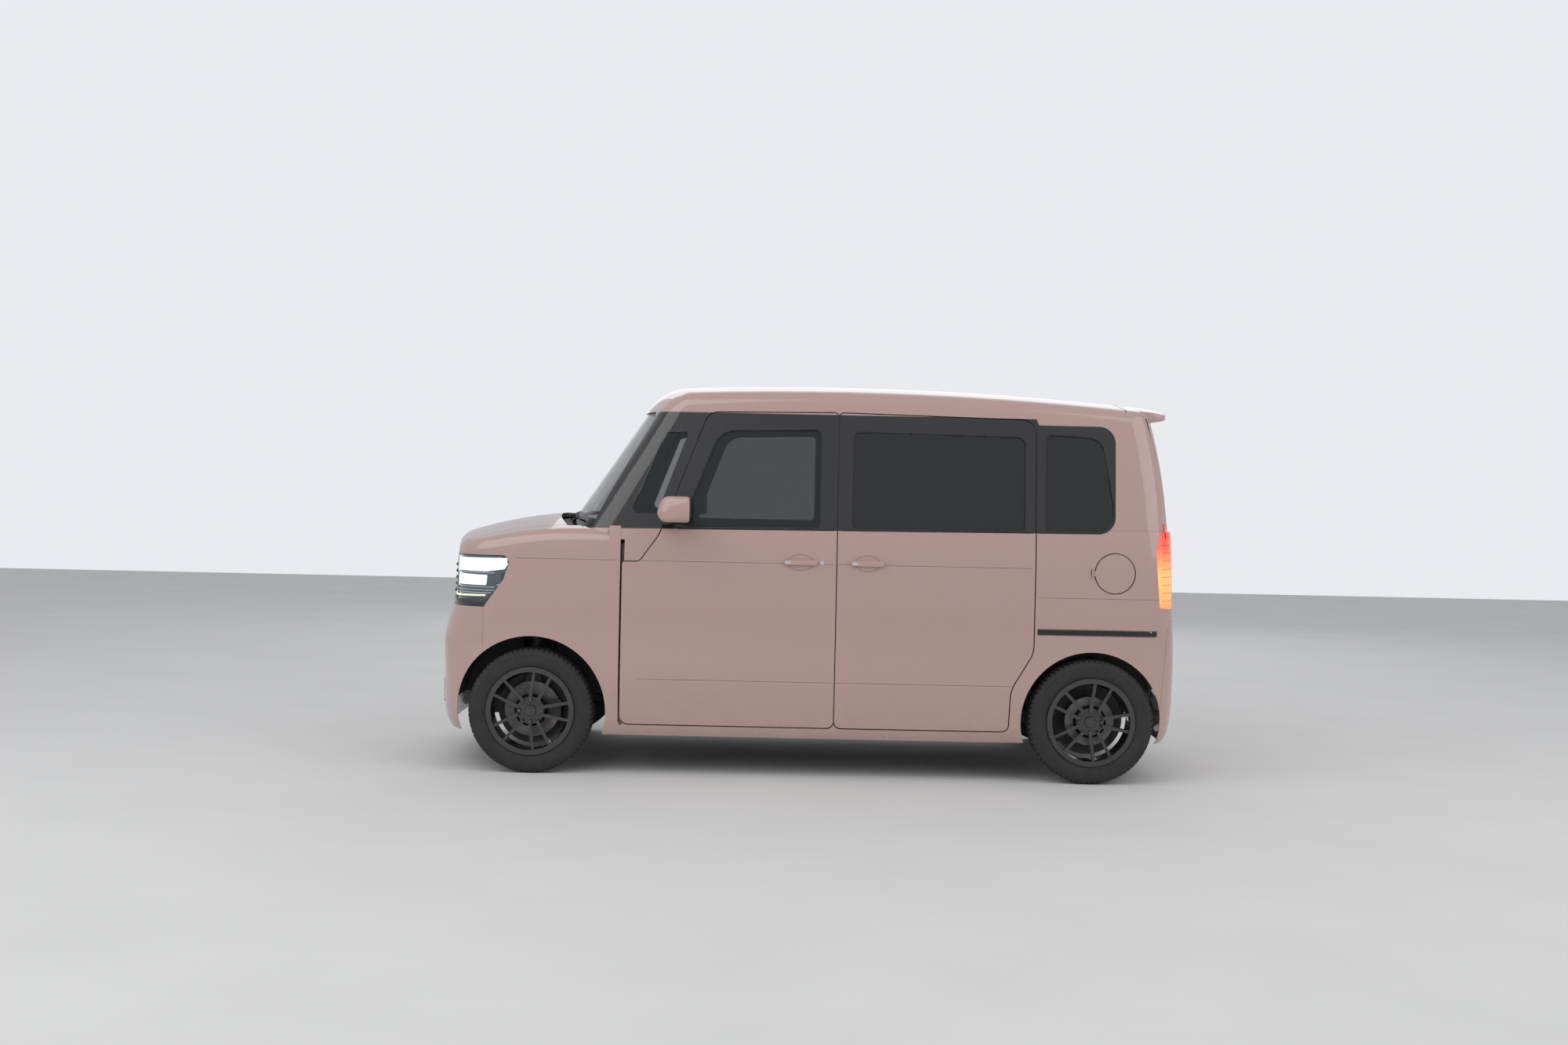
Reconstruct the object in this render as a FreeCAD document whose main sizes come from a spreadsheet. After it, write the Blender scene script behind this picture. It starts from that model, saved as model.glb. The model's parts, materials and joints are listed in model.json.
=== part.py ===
import FreeCAD, Part
import Sketcher

import math
import os
from types import SimpleNamespace

# A tall kei-class wagon. Row frame in mm: nose at -X, right-hand side at +Y, +Z up,
# origin on the ground below the middle of the car.

# Driving dimensions: alias, value in mm or degrees, meaning.
SIZES = (
    ("body_length", 3395, "front bumper to rear bumper"),
    ("body_width", 1475, "over the doors, mirrors left out"),
    ("body_height", 1790, "ground to roof crown"),
    ("wheelbase", 2520, "front axle to rear axle"),
    ("front_overhang", 475, "front bumper to front axle"),
    ("wheel_track", 1290, "between wheel centre planes"),
    ("tyre_diameter", 562, "165/55 on a 15 inch rim"),
    ("tyre_width", 165, "section width"),
    ("rim_diameter", 381, "bead seat"),
    ("skin_wall", 4, "bumper and wing skins"),
    ("glass_wall", 5, "all panes"),
    ("door_gap", 5, "shut line round what opens"),
    ("hinge_gap", 8, "shut line at the hinge side of the front doors"),
    ("hinge_set_back", 40, "front door hinge pins behind the door's front edge"),
    ("hinge_depth", 17, "front door hinge pins inboard of the widest skin"),
    ("pin_diameter", 8, "door, bonnet and tailgate hinge pins"),
    ("pin_fit", 0.05, "radial clearance of a hinge pin"),
    ("gate_swing_radius", 32, "rounded front edge of the tailgate about its hinge"),
    ("pocket_gap", 7, "between a door's inner face and its flange"),
    ("cowl_drop", 30, "cowl below the line of the bonnet"),
    ("seam", 0.8, "joint line between fixed panels"),
    ("spoke_spread", 34, "half the spread of a pair of spokes at the rim"),
    ("spoke_depth", 26, "spoke section along the axle"),
    ("disc_diameter", 250, "front brake disc"),
    ("stub_diameter", 36, "wheel stub axles"),
    ("engine_length", 380, "engine and gearbox block along the car"),
    ("engine_width", 600, "engine and gearbox block across the car"),
    ("engine_height", 450, "engine and gearbox block, sump to top"),
    ("tank_length", 620, "fuel tank along the car"),
    ("tank_width", 700, "fuel tank across the car"),
    ("tank_height", 84, "fuel tank under the floor"),
    ("wheel_hoop", 370, "steering wheel diameter"),
    ("driver_offset", 330, "steering wheel and seats to the middle of the car"),
    ("seat_width", 470, "front seat"),
    ("running_fit", 0.3, "clearance at pins, hubs and pane edges"),
    ("belt_height", 1122, "window sill at the front door"),
    ("belt_rise", 0.008, "rise of the window sill per mm of length"),
    ("floor_height", 330, "top of the cabin floor"),
    ("load_floor_height", 480, "top of the floor behind the rear seat"),
    ("floor_wall", 40, "floor panel with its ribs"),
    ("side_wall", 100, "door or body side below the belt"),
    ("door_depth", 77, "door below the belt"),
    ("frame_wall", 47, "body side above the belt"),
    ("sash_depth", 30, "door frame above the belt"),
    ("flange_lip", 25, "how far a door overlaps its aperture"),
    ("front_arch_radius", 338, "front wheel opening"),
    ("rear_arch_radius", 316, "rear wheel opening"),
    ("steer_angle", 35, "front wheels, each way"),
)


def make_sheet(doc):
    """The spreadsheet that holds the driving dimensions."""
    sheet = doc.addObject("Spreadsheet::Sheet", "Sizes")
    for row, (alias, value, meaning) in enumerate(SIZES, 1):
        sheet.set(f"A{row}", meaning)
        sheet.set(f"B{row}", str(value))
        sheet.setAlias(f"B{row}", alias)
    doc.recompute()
    return sheet


doc = FreeCAD.newDocument("kei_car")
sheet = make_sheet(doc)
s = SimpleNamespace(**{alias: float(sheet.get(alias)) for alias, _, _ in SIZES})

NOSE = -s.body_length / 2
TAIL = s.body_length / 2
HALF = s.body_width / 2
FRONT_AXLE = NOSE + s.front_overhang
REAR_AXLE = FRONT_AXLE + s.wheelbase
HUB = s.tyre_diameter / 2
WHEEL_Y = s.wheel_track / 2


def V(x, y, z):
    return FreeCAD.Vector(x, y, z)


def mirrored(shape):
    """The same piece on the other side of the car."""
    return shape.mirror(V(0, 0, 0), V(0, 1, 0))


def both(shape):
    """A left and right pair in one shape."""
    return Part.makeCompound([shape, mirrored(shape)])


def box(x0, x1, y0, y1, z0, z1):
    return Part.makeBox(x1 - x0, y1 - y0, z1 - z0, V(x0, y0, z0))


def cylinder_y(x, z, radius, y0, y1):
    return Part.makeCylinder(radius, y1 - y0, V(x, y0, z), V(0, 1, 0))


def cylinder_z(x, y, radius, z0, z1):
    return Part.makeCylinder(radius, z1 - z0, V(x, y, z0), V(0, 0, 1))


# Flat outlines are lists of corners (a, b, corner radius), in XZ, YZ or XY.
PLACES = {
    "XZ": (lambda a, b, c: V(a, c, b), V(0, 1, 0)),
    "YZ": (lambda a, b, c: V(c, a, b), V(1, 0, 0)),
    "XY": (lambda a, b, c: V(a, b, c), V(0, 0, 1)),
}


def unit(a, b):
    length = math.hypot(b[0] - a[0], b[1] - a[1])
    return (b[0] - a[0]) / length, (b[1] - a[1]) / length


def loop(corners, plane, level):
    """Closed wire of lines and arcs through rounded corners."""
    place = PLACES[plane][0]
    count = len(corners)
    ends = []
    for i, (a, b, radius) in enumerate(corners):
        before, after = corners[i - 1], corners[(i + 1) % count]
        u, w = unit((a, b), before), unit((a, b), after)
        half = math.acos(max(-1, min(1, u[0] * w[0] + u[1] * w[1]))) / 2
        if radius <= 0 or half > math.pi / 2 - 0.01:
            ends.append(((a, b), None, (a, b)))
            continue
        reach = radius / math.tan(half)
        bisector = unit((0, 0), (u[0] + w[0], u[1] + w[1]))
        out = radius / math.sin(half) - radius
        ends.append((
            (a + u[0] * reach, b + u[1] * reach),
            (a + bisector[0] * out, b + bisector[1] * out),
            (a + w[0] * reach, b + w[1] * reach),
        ))
    edges = []
    for i, (start, middle, end) in enumerate(ends):
        if middle:
            edges.append(Part.Arc(place(*start, level), place(*middle, level), place(*end, level)).toShape())
        following = ends[(i + 1) % count][0]
        if math.hypot(following[0] - end[0], following[1] - end[1]) > 1e-6:
            edges.append(Part.LineSegment(place(*end, level), place(*following, level)).toShape())
    return Part.Wire(edges)


def prism(corners, plane, low, high):
    """The outline pushed from low to high along the axis it faces."""
    face = Part.Face(loop(corners, plane, low))
    return face.extrude(PLACES[plane][1] * (high - low))


def grown(corners, by):
    """The outline moved outwards by a distance, corner radii following."""
    count = len(corners)
    area = sum(corners[i - 1][0] * corners[i][1] - corners[i][0] * corners[i - 1][1] for i in range(count))
    sign = 1 if area > 0 else -1
    result = []
    for i, (a, b, radius) in enumerate(corners):
        before, after = corners[i - 1], corners[(i + 1) % count]
        u, w = unit(before, (a, b)), unit((a, b), after)
        n, m = (sign * u[1], -sign * u[0]), (sign * w[1], -sign * w[0])
        turn = u[0] * w[1] - u[1] * w[0]
        k = by / (1 + n[0] * m[0] + n[1] * m[1])
        spread = by if sign * turn > 0 else -by
        result.append((a + (n[0] + m[0]) * k, b + (n[1] + m[1]) * k, max(radius + spread, 0) if radius else 0))
    return result


# Plan outlines of the skin: a nose arc, a side arc and a tail arc a side, with round corners.
LOWER_NOSE_RADIUS = 2600
UPPER_NOSE_RADIUS = 1700
TAIL_RADIUS = 20000
SIDE_RADIUS = 100000

# Body below the windows: height, set back at the nose, at the tail, at the side, front corner, rear corner.
LOWER_SECTIONS = (
    (180, 42, 45, 38, 230, 150),
    (250, 10, 12, 17, 250, 160),
    (360, 2, 2, 6, 255, 165),
    (480, 0, 0, 0, 260, 165),
    (620, 4, 3, 0.3, 255, 160),
    (700, 22, 9, 0.8, 240, 150),
    (780, 44, 14, 1.5, 220, 145),
    (880, 52, 18, 2.8, 205, 138),
    (975, 57, 22, 4.5, 190, 130),
    (1080, 64, 28, 13, 180, 125),
    (1200, 75, 34, 34, 170, 120),
)
# Glasshouse: height, nose setback, tail setback, side inset, front corner, rear corner.
UPPER_SECTIONS = (
    (1060, 536, 38, 26.5, 150, 120),
    (1250, 662, 53, 47.5, 140, 115),
    (1450, 798, 81, 75, 125, 110),
    (1650, 930, 126, 108, 110, 105),
    (1810, 1025, 173, 139, 100, 100),
)


def nearest_root(c1, r1, c2, r2, toward):
    """Where two circles cross, on the upper side and the wanted end of the car."""
    dx, dy = c2[0] - c1[0], c2[1] - c1[1]
    d = math.hypot(dx, dy)
    along = (r1 * r1 - r2 * r2 + d * d) / (2 * d)
    across = math.sqrt(max(r1 * r1 - along * along, 0))
    mx, my = c1[0] + along * dx / d, c1[1] + along * dy / d
    pair = ((mx + across * dy / d, my - across * dx / d), (mx - across * dy / d, my + across * dx / d))
    return max((p for p in pair if p[1] > 0), key=lambda p: p[0] * toward)


def on_circle(centre, radius, through):
    u = unit(centre, through)
    return centre[0] + u[0] * radius, centre[1] + u[1] * radius


def exact_arc(start, middle, end):
    """An arc as a rational quadratic, which keeps the lofts through it simple."""
    chord_middle = (start + end) * 0.5
    half_chord = (end - start).Length / 2
    rise = (middle - chord_middle).Length
    angle = 2 * math.atan2(rise, half_chord)
    pole = chord_middle + (middle - chord_middle) * (half_chord * math.tan(angle) / rise)
    curve = Part.BSplineCurve()
    curve.buildFromPolesMultsKnots([start, pole, end], [3, 3], [0, 1], False, 2, [1, math.cos(angle), 1])
    return curve.toShape()


def plan_outline(section, nose_radius, inset):
    """Tangent arcs round the left half of the car at one height, moved in by inset."""
    z, nose_back, tail_back, side_in, front_corner, rear_corner = section
    front, rear, half = NOSE + nose_back + inset, TAIL - tail_back - inset, HALF - side_in - inset
    front_corner = max(front_corner - inset, 8)
    rear_corner = max(rear_corner - inset, 8)
    nose_centre, side_centre, tail_centre = (front + nose_radius, 0), (0, half - SIDE_RADIUS), (rear - TAIL_RADIUS, 0)
    fc = nearest_root(nose_centre, nose_radius - front_corner, side_centre, SIDE_RADIUS - front_corner, -1)
    rc = nearest_root(tail_centre, TAIL_RADIUS - rear_corner, side_centre, SIDE_RADIUS - rear_corner, 1)
    a = on_circle(nose_centre, nose_radius, fc)
    b = on_circle(side_centre, SIDE_RADIUS, fc)
    c = on_circle(side_centre, SIDE_RADIUS, rc)
    e = on_circle(tail_centre, TAIL_RADIUS, rc)

    def halfway(centre, radius, p, q):
        return on_circle(centre, radius, ((p[0] + q[0]) / 2, (p[1] + q[1]) / 2))

    arcs = (
        ((front, 0), halfway(nose_centre, nose_radius, (front, 0), a), a),
        (a, halfway(fc, front_corner, a, b), b),
        (b, halfway(side_centre, SIDE_RADIUS, b, c), c),
        (c, halfway(rc, rear_corner, c, e), e),
        (e, halfway(tail_centre, TAIL_RADIUS, e, (rear, 0)), (rear, 0)),
    )
    edges = [exact_arc(*(V(p[0], -p[1], z) for p in arc)) for arc in arcs]
    return Part.Wire(edges + [Part.LineSegment(V(rear, 0, z), V(front, 0, z)).toShape()])


def crown(x_top, z_top, radius_x, radius_y, depth, half_turn):
    """Everything under a doubly curved crown: an arc across the car turned about an axis far below."""
    edge = HALF + 60
    z_edge = z_top - (radius_y - math.sqrt(radius_y ** 2 - edge ** 2))
    points = [V(x_top, -edge, z_edge), V(x_top, edge, z_edge), V(x_top, edge, z_top - depth), V(x_top, -edge, z_top - depth)]
    wire = Part.Wire([
        Part.Arc(points[0], V(x_top, 0, z_top), points[1]).toShape(),
        Part.LineSegment(points[1], points[2]).toShape(),
        Part.LineSegment(points[2], points[3]).toShape(),
        Part.LineSegment(points[3], points[0]).toShape(),
    ])
    face = Part.Face(wire)
    pivot = V(x_top, 0, z_top - radius_x)
    face.rotate(pivot, V(0, 1, 0), -half_turn)
    return face.revolve(pivot, V(0, 1, 0), 2 * half_turn)


BONNET_TOP = (NOSE + 688, 1165, 1900, 4000)
ROOF_TOP = (150, s.body_height, 15000, 3900)
COWL_X = -880
COWL_REACH = 65
BONNET_EDGE = 60
ROOF_EDGE = 75
ROOF_FRONT_EDGE = 240
ROOF_REAR_EDGE = 50
REACH = HALF + 60


def belt(x):
    """Height of the window sill."""
    return s.belt_height + s.belt_rise * (x - NOSE - 900)


def lower_loft(inset):
    return Part.makeLoft([plan_outline(row, LOWER_NOSE_RADIUS, inset) for row in LOWER_SECTIONS], True, False, False, 3)


def upper_loft(inset):
    return Part.makeLoft([plan_outline(row, UPPER_NOSE_RADIUS, inset) for row in UPPER_SECTIONS], True, False, False, 3)


def lower_skin(inset=0.0):
    """Left half of the solid inside the lower body's skin, under the bonnet and the window sill."""
    solid = lower_loft(inset)
    x_top, z_top, rx, ry = BONNET_TOP
    room = box(NOSE - 100, COWL_X, -REACH, 10, 100, 1300)
    front = solid.common(room).common(crown(x_top, z_top - inset, rx, ry, 1090, 45))
    tops = [
        e for e in front.Edges
        if e.BoundBox.ZMin > 1000 and e.BoundBox.XMin < COWL_X - 5 and e.BoundBox.YMin < -5
        and e.BoundBox.ZLength < 200
    ]
    front = front.makeFillet(max(BONNET_EDGE - inset, 5), tops)
    sill = [
        (COWL_X, 100, 0), (TAIL + 100, 100, 0),
        (TAIL + 100, belt(TAIL + 100) - inset, 0), (COWL_X, belt(COWL_X) - inset, 0),
    ]
    return front.fuse(solid.common(prism(sill, "XZ", -REACH, 10)))


def roof_radii(edge):
    """Rounding of one top edge of the glasshouse, at its first and last point, or None."""
    box_of = edge.BoundBox
    if box_of.ZMin < 1640 or box_of.YMin > -5:
        return None
    if box_of.XMax < -600 and box_of.YMax > -10:
        return ROOF_FRONT_EDGE, ROOF_FRONT_EDGE
    if box_of.XMax < -400:
        return ROOF_FRONT_EDGE, ROOF_EDGE
    if box_of.XMin > 1350 and box_of.YMax > -10:
        return ROOF_REAR_EDGE, ROOF_REAR_EDGE
    if box_of.XMin > 1350:
        return ROOF_EDGE, ROOF_REAR_EDGE
    return ROOF_EDGE, ROOF_EDGE


def upper_skin(inset=0.0):
    """Left half of the solid inside the glasshouse's skin, under the roof."""
    x_top, z_top, rx, ry = ROOF_TOP
    solid = upper_loft(inset).common(crown(x_top, z_top - inset, rx, ry, 780, 9))
    if inset:
        return solid
    sharp = doc.addObject("Part::Feature", "SharpGlasshouse")
    sharp.Shape = solid
    rounded = doc.addObject("Part::Fillet", "Glasshouse")
    rounded.Base = sharp
    radii = [(i, roof_radii(edge)) for i, edge in enumerate(solid.Edges, 1)]
    rounded.Edges = [(i, *pair) for i, pair in radii if pair]
    doc.recompute()
    return rounded.Shape


# Inner faces of the walls are flat: the side (y, z) at no depth, and the tail (x, z).
SIDE_FACE = ((HALF, 1075), (706, 1112), (662, 1450), (628, 1650))
TAIL_FACE = ((TAIL - 4, 480), (TAIL - 28, 1075), (TAIL - 43, 1112), (TAIL - 81, 1450), (TAIL - 126, 1650))
WIND_SLOPE = 0.672
WIND_FOOT = NOSE + 536 + WIND_SLOPE * 40


def core(low, up):
    """Left half of the space inside flat walls of thickness low under the sill and up above it."""
    side = [(10, 60, 0), (-(HALF - low), 60, 0)]
    side += [(-(y - (low if z < 1100 else up)), z, 0) for y, z in SIDE_FACE]
    side += [(-(594 - up), s.body_height - 30, 0), (10, s.body_height - 30, 0)]
    tail = [(NOSE + 60, 60, 0), (TAIL - low, 60, 0)]
    tail += [(x - (low if z < 1100 else up), z, 0) for x, z in TAIL_FACE]
    tail += [(TAIL - 150 - up, s.body_height, 0), (NOSE + 60, s.body_height, 0)]
    room = prism(side, "YZ", NOSE + 60, TAIL).common(prism(tail, "XZ", -HALF, 10))
    x_top, z_top, rx, ry = ROOF_TOP
    room = room.common(crown(x_top, z_top - up, rx, ry, 1750, 9))
    foot = WIND_FOOT + up / math.cos(math.atan(WIND_SLOPE))
    radius = UPPER_NOSE_RADIUS - up
    reach = foot + radius - math.sqrt(radius ** 2 - HALF ** 2)
    front = Part.Face(Part.Wire([
        Part.LineSegment(V(foot, 0, 1100), V(foot, 10, 1100)).toShape(),
        Part.LineSegment(V(foot, 10, 1100), V(TAIL + 900, 10, 1100)).toShape(),
        Part.LineSegment(V(TAIL + 900, 10, 1100), V(TAIL + 900, -HALF, 1100)).toShape(),
        Part.LineSegment(V(TAIL + 900, -HALF, 1100), V(reach, -HALF, 1100)).toShape(),
        Part.Arc(V(reach, -HALF, 1100), V(foot + radius - math.sqrt(radius ** 2 - (HALF / 2) ** 2), -HALF / 2, 1100),
                 V(foot, 0, 1100)).toShape(),
    ]))
    behind = front.extrude(V(WIND_SLOPE * 760, 0, 760)).fuse(box(-1090, TAIL, -HALF, 10, 60, 1100))
    return room.common(behind)


# Side outlines (x, z, corner radius).
FRONT_DOOR = (
    (-820, 232, 40), (-820, 962, 12), (-742, 962, 30), (-655, 1085, 150), (-445, 1640, 60), (139, 1648, 20), (139, 232, 30),
)
FRONT_WINDOW = ((-560, 1128, 25), (-395, 1560, 110), (62, 1572, 30), (62, 1128, 25))
SLIDE_DOOR = (
    (144, 232, 30), (144, 1648, 20), (1030, 1632, 60), (1030, 590, 120), (930, 420, 150), (925, 232, 30),
)
SLIDE_WINDOW = ((209, 1132, 25), (209, 1566, 30), (985, 1556, 40), (985, 1134, 25))
FRONT_QUARTER = ((-790, 1180, 20), (-645, 1545, 30), (-535, 1555, 15), (-670, 1180, 20))
REAR_QUARTER = ((1078, 1136, 25), (1078, 1572, 30), (1330, 1560, 80), (1405, 1136, 100))
FENDER_LINE = -820 - s.hinge_gap
BUMPER_TOP = 745
TAIL_LAMP = ((1596, 800, 10), (1572, 1060, 30), (1600, 1176, 10), (1760, 1176, 0), (1760, 784, 0))
TAIL_BUMPER = ((1560, 100, 0), (1606, 300, 0), (1640, 700, 60), (1660, 745, 20), (1800, 745, 0), (1800, 100, 0))
FRONT_BUMPER = ((-1800, 150, 0), (-1800, 745, 0), (-1440, 745, 0), (-1440, 150, 0))
FRONT_FACE = ((-1800, 745, 0), (-1800, 978, 0), (-1318, 978, 30), (-1352, 870, 30), (-1440, 745, 0))
# Outlines seen from ahead or behind, left half (y, z, corner radius).
WINDSCREEN = ((-676, 1100, 20), (-561, 1642, 90), (10, 1642, 0), (10, 1100, 0))
TAILGATE = ((-605, 545, 45), (-618, 1180, 0), (-575, 1800, 0), (10, 1800, 0), (10, 545, 0))
TAIL_WINDOW = ((-560, 1165, 50), (-525, 1600, 60), (10, 1600, 0), (10, 1165, 0))
# Bonnet seen from above, left half (x, y, corner radius).
HOOD = ((-1800, -607, 0), (-1300, -607, 120), (-700, -607, 0), (-700, 10, 0), (-1800, 10, 0))
DOOR_HINGE = (-820 + s.hinge_set_back, -HALF + s.hinge_depth)
DOOR_HINGE_HEIGHTS = ((390, 430), (770, 810))
GATE_HINGE = (1474, 1707)
GATE_HINGE_Y = (-318, -306)
BONNET_HINGE = (-1045, 1085)
BONNET_HINGE_Y = (-572, -560)
LID_HINGE = (1289, -729)
PIN = s.pin_diameter / 2
ROOF_HALF = 552
LID = (1389, 952, 88)
LID_PIN = 3
OUTSIDE, MIDDLE = -900, -450

named = {}


def node(name, shape):
    """One sub-part of the document whose shape is worked out in code."""
    feature = doc.addObject("Part::Feature", name)
    feature.Label = name
    feature.Shape = shape
    named[name] = feature
    return feature


def side_tool(corners, grow=0.0, low=OUTSIDE, high=MIDDLE):
    return prism(grown(corners, grow), "XZ", low, high)


def end_tool(corners, low, high, grow=0.0):
    return prism(grown(corners, grow), "YZ", low, high)


def solids_of(shape, smallest=3000.0):
    """The pieces worth keeping, without the slivers that trimming leaves."""
    pieces = [piece for piece in shape.Solids if piece.Volume > smallest]
    return pieces[0] if len(pieces) == 1 else Part.makeCompound(pieces)


def whole(half):
    """A piece that crosses the middle, from its left half."""
    return half.fuse(mirrored(half))


# Skins and the spaces inside them, left half.
LOWER = lower_skin()
UPPER = upper_skin()
OUTER = LOWER.fuse(UPPER)
INSIDE = core(s.side_wall, s.frame_wall)
POCKET = core(s.door_depth + s.pocket_gap, s.sash_depth + s.door_gap)
DOOR_INNER = core(s.door_depth, s.sash_depth)
GLASS_BAND = box(NOSE, TAIL, -HALF, 10, 1090, 1680)
PANES = upper_loft(6).common(GLASS_BAND).cut(upper_loft(6 + s.glass_wall))

# ---- body sides ----
shell_box = box(-1120, TAIL + 10, -HALF - 10, -ROOF_HALF - s.seam, 150, 1800)
shell = OUTER.common(shell_box)
GATE_X, GATE_Z = GATE_HINGE
gate_room = end_tool(TAILGATE, GATE_X, TAIL + 60).fuse(
    cylinder_y(GATE_X, GATE_Z, s.gate_swing_radius, -600, 10).common(end_tool(TAILGATE, 1400, TAIL)))
gate_gap = end_tool(TAILGATE, GATE_X, TAIL + 60, s.door_gap)
gate_swing = cylinder_y(GATE_X, GATE_Z, s.gate_swing_radius + s.door_gap, -600, 10)
gate_swing = gate_swing.common(end_tool(TAILGATE, 1400, GATE_X + 40, s.door_gap))
gate_hole = end_tool(TAILGATE, GATE_X + s.flange_lip, TAIL + 60, -s.flange_lip)
wind_hole = end_tool([(-689, 1040, 0)] + list(WINDSCREEN[1:3]) + [(10, 1040, 0)], NOSE, -560)
rear_arch = cylinder_y(REAR_AXLE, HUB, s.rear_arch_radius, OUTSIDE, MIDDLE)
pockets = [
    side_tool(FRONT_DOOR, s.door_gap), side_tool(SLIDE_DOOR, s.door_gap), side_tool(TAIL_LAMP, s.seam), gate_gap,
    box(-900, -810, OUTSIDE, MIDDLE, 227, 1061),
]
pocket_tool = pockets[0].fuse(pockets[1:]).common(shell_box).cut(POCKET)
side = shell.cut([
    INSIDE, pocket_tool,
    side_tool(((-1300, 100, 0), (-1300, 1300, 0), (-868, 1300, 0), (-868, 100, 0))).cut(upper_loft(0)),
    side_tool(((-1300, 100, 0), (-1300, 1300, 0), (FENDER_LINE, 1300, 0), (FENDER_LINE, 100, 0))).cut([upper_loft(0), POCKET]),
    box(-1300, FENDER_LINE, OUTSIDE, MIDDLE, 100, 228), gate_swing,
    side_tool(FRONT_DOOR, -s.flange_lip), side_tool(SLIDE_DOOR, -s.flange_lip),
    side_tool(FRONT_QUARTER), side_tool(REAR_QUARTER), rear_arch, wind_hole, gate_hole,
    side_tool(TAIL_BUMPER, s.seam),
    cylinder_y(LID[0], LID[1], LID[2] + s.door_gap, OUTSIDE, -700),
    box(LID_HINGE[0] - 8, LID[0], OUTSIDE, LID_HINGE[1] + 12, LID[1] - 12.5, LID[1] + 12.5),
    cylinder_z(*LID_HINGE, LID_PIN + s.pin_fit, LID[1] - 24, LID[1] + 24),
])
hinge_x, hinge_y = DOOR_HINGE
brackets = []
for low, high in DOOR_HINGE_HEIGHTS:
    arm = box(hinge_x - 6, hinge_x + 6, hinge_y, -645, low, high)
    foot = box(hinge_x - 28, hinge_x + 6, -651, -639, low, high)
    eye = cylinder_z(hinge_x, hinge_y, 7, low, high)
    brackets.append(arm.fuse([foot, eye]).cut(cylinder_z(hinge_x, hinge_y, PIN + s.pin_fit, low - 1, high + 1)))
side = solids_of(side.fuse(brackets), 50000)
node("body_side_left", side)
node("body_side_right", mirrored(side))
lid = cylinder_y(*LID, OUTSIDE, MIDDLE).fuse(
    box(LID_HINGE[0], LID[0], OUTSIDE, MIDDLE, LID[1] - 12, LID[1] + 12))
lid = solids_of(OUTER.common(lid).cut(lower_loft(6)))
lid = lid.cut(box(LID_HINGE[0] - 1, LID_HINGE[0] + 2, OUTSIDE, MIDDLE, LID[1] - 13, LID[1] + 13))
lid = lid.fuse([
    cylinder_z(*LID_HINGE, 5, LID[1] - 12, LID[1] + 12), cylinder_z(*LID_HINGE, LID_PIN, LID[1] - 22, LID[1] + 22),
])
node("fuel_lid", solids_of(lid))

# ---- roof ----
roof = OUTER.common(box(-900, TAIL, -ROOF_HALF, 10, 1560, 1800)).cut([
    INSIDE, wind_hole, gate_gap.cut(POCKET), gate_swing, gate_hole,
])
low, high = GATE_HINGE_Y
gate_arm = box(GATE_X - 52, GATE_X, low, high, GATE_Z - 12, GATE_Z - 4).fuse([
    cylinder_y(GATE_X, GATE_Z, 8, low, high), box(GATE_X - 8, GATE_X + 2, low, high, GATE_Z - 12, GATE_Z)])
roof = roof.fuse(gate_arm.cut(cylinder_y(GATE_X, GATE_Z, PIN + s.pin_fit, low - 1, high + 1)))
node("roof_panel", whole(solids_of(roof, 50000)))

# ---- doors ----
swing_relief = box(-830, hinge_x, hinge_y, -600, 100, 1100).cut(cylinder_z(hinge_x, hinge_y, 59, 99, 1101))
notches = [box(-830, hinge_x + 16, hinge_y - 8, -600, low - 0.5, high + 0.5) for low, high in DOOR_HINGE_HEIGHTS]
pins = [cylinder_z(hinge_x, hinge_y, PIN, low - 12, high + 12) for low, high in DOOR_HINGE_HEIGHTS]
front_door = OUTER.common(side_tool(FRONT_DOOR)).cut([DOOR_INNER, side_tool(FRONT_WINDOW), swing_relief] + notches)
front_door = solids_of(front_door.fuse(pins))
slide_door = solids_of(OUTER.common(side_tool(SLIDE_DOOR)).cut([DOOR_INNER, side_tool(SLIDE_WINDOW)]))
node("front_door_left", front_door)
node("front_door_right", mirrored(front_door))
node("sliding_door_left", slide_door)
node("sliding_door_right", mirrored(slide_door))
low, high = GATE_HINGE_Y
gate = OUTER.common(gate_room).cut([
    DOOR_INNER, end_tool(TAIL_WINDOW, 1000, TAIL + 60), box(1400, GATE_X + 14, low - 1, high + 1, 1600, 1800),
])
gate = solids_of(gate.fuse(cylinder_y(GATE_X, GATE_Z, PIN, low - 10, high + 10)))
node("tailgate", whole(gate))

# ---- glass ----
door_pane = solids_of(PANES.common(side_tool(FRONT_WINDOW, -s.running_fit)))
node("door_glass_left", door_pane)
node("door_glass_right", mirrored(door_pane))
node("sliding_door_glass", both(solids_of(PANES.common(side_tool(SLIDE_WINDOW, -s.running_fit)))))
quarters = [solids_of(PANES.common(side_tool(o, -s.running_fit))) for o in (FRONT_QUARTER, REAR_QUARTER)]
node("quarter_glass", Part.makeCompound(quarters + [mirrored(q) for q in quarters]))
node("windscreen", whole(solids_of(PANES.common(end_tool(WINDSCREEN, NOSE, -560, -s.running_fit)))))
node("tailgate_glass", whole(solids_of(PANES.common(end_tool(TAIL_WINDOW, 1300, TAIL + 60, -s.running_fit)))))

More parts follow.
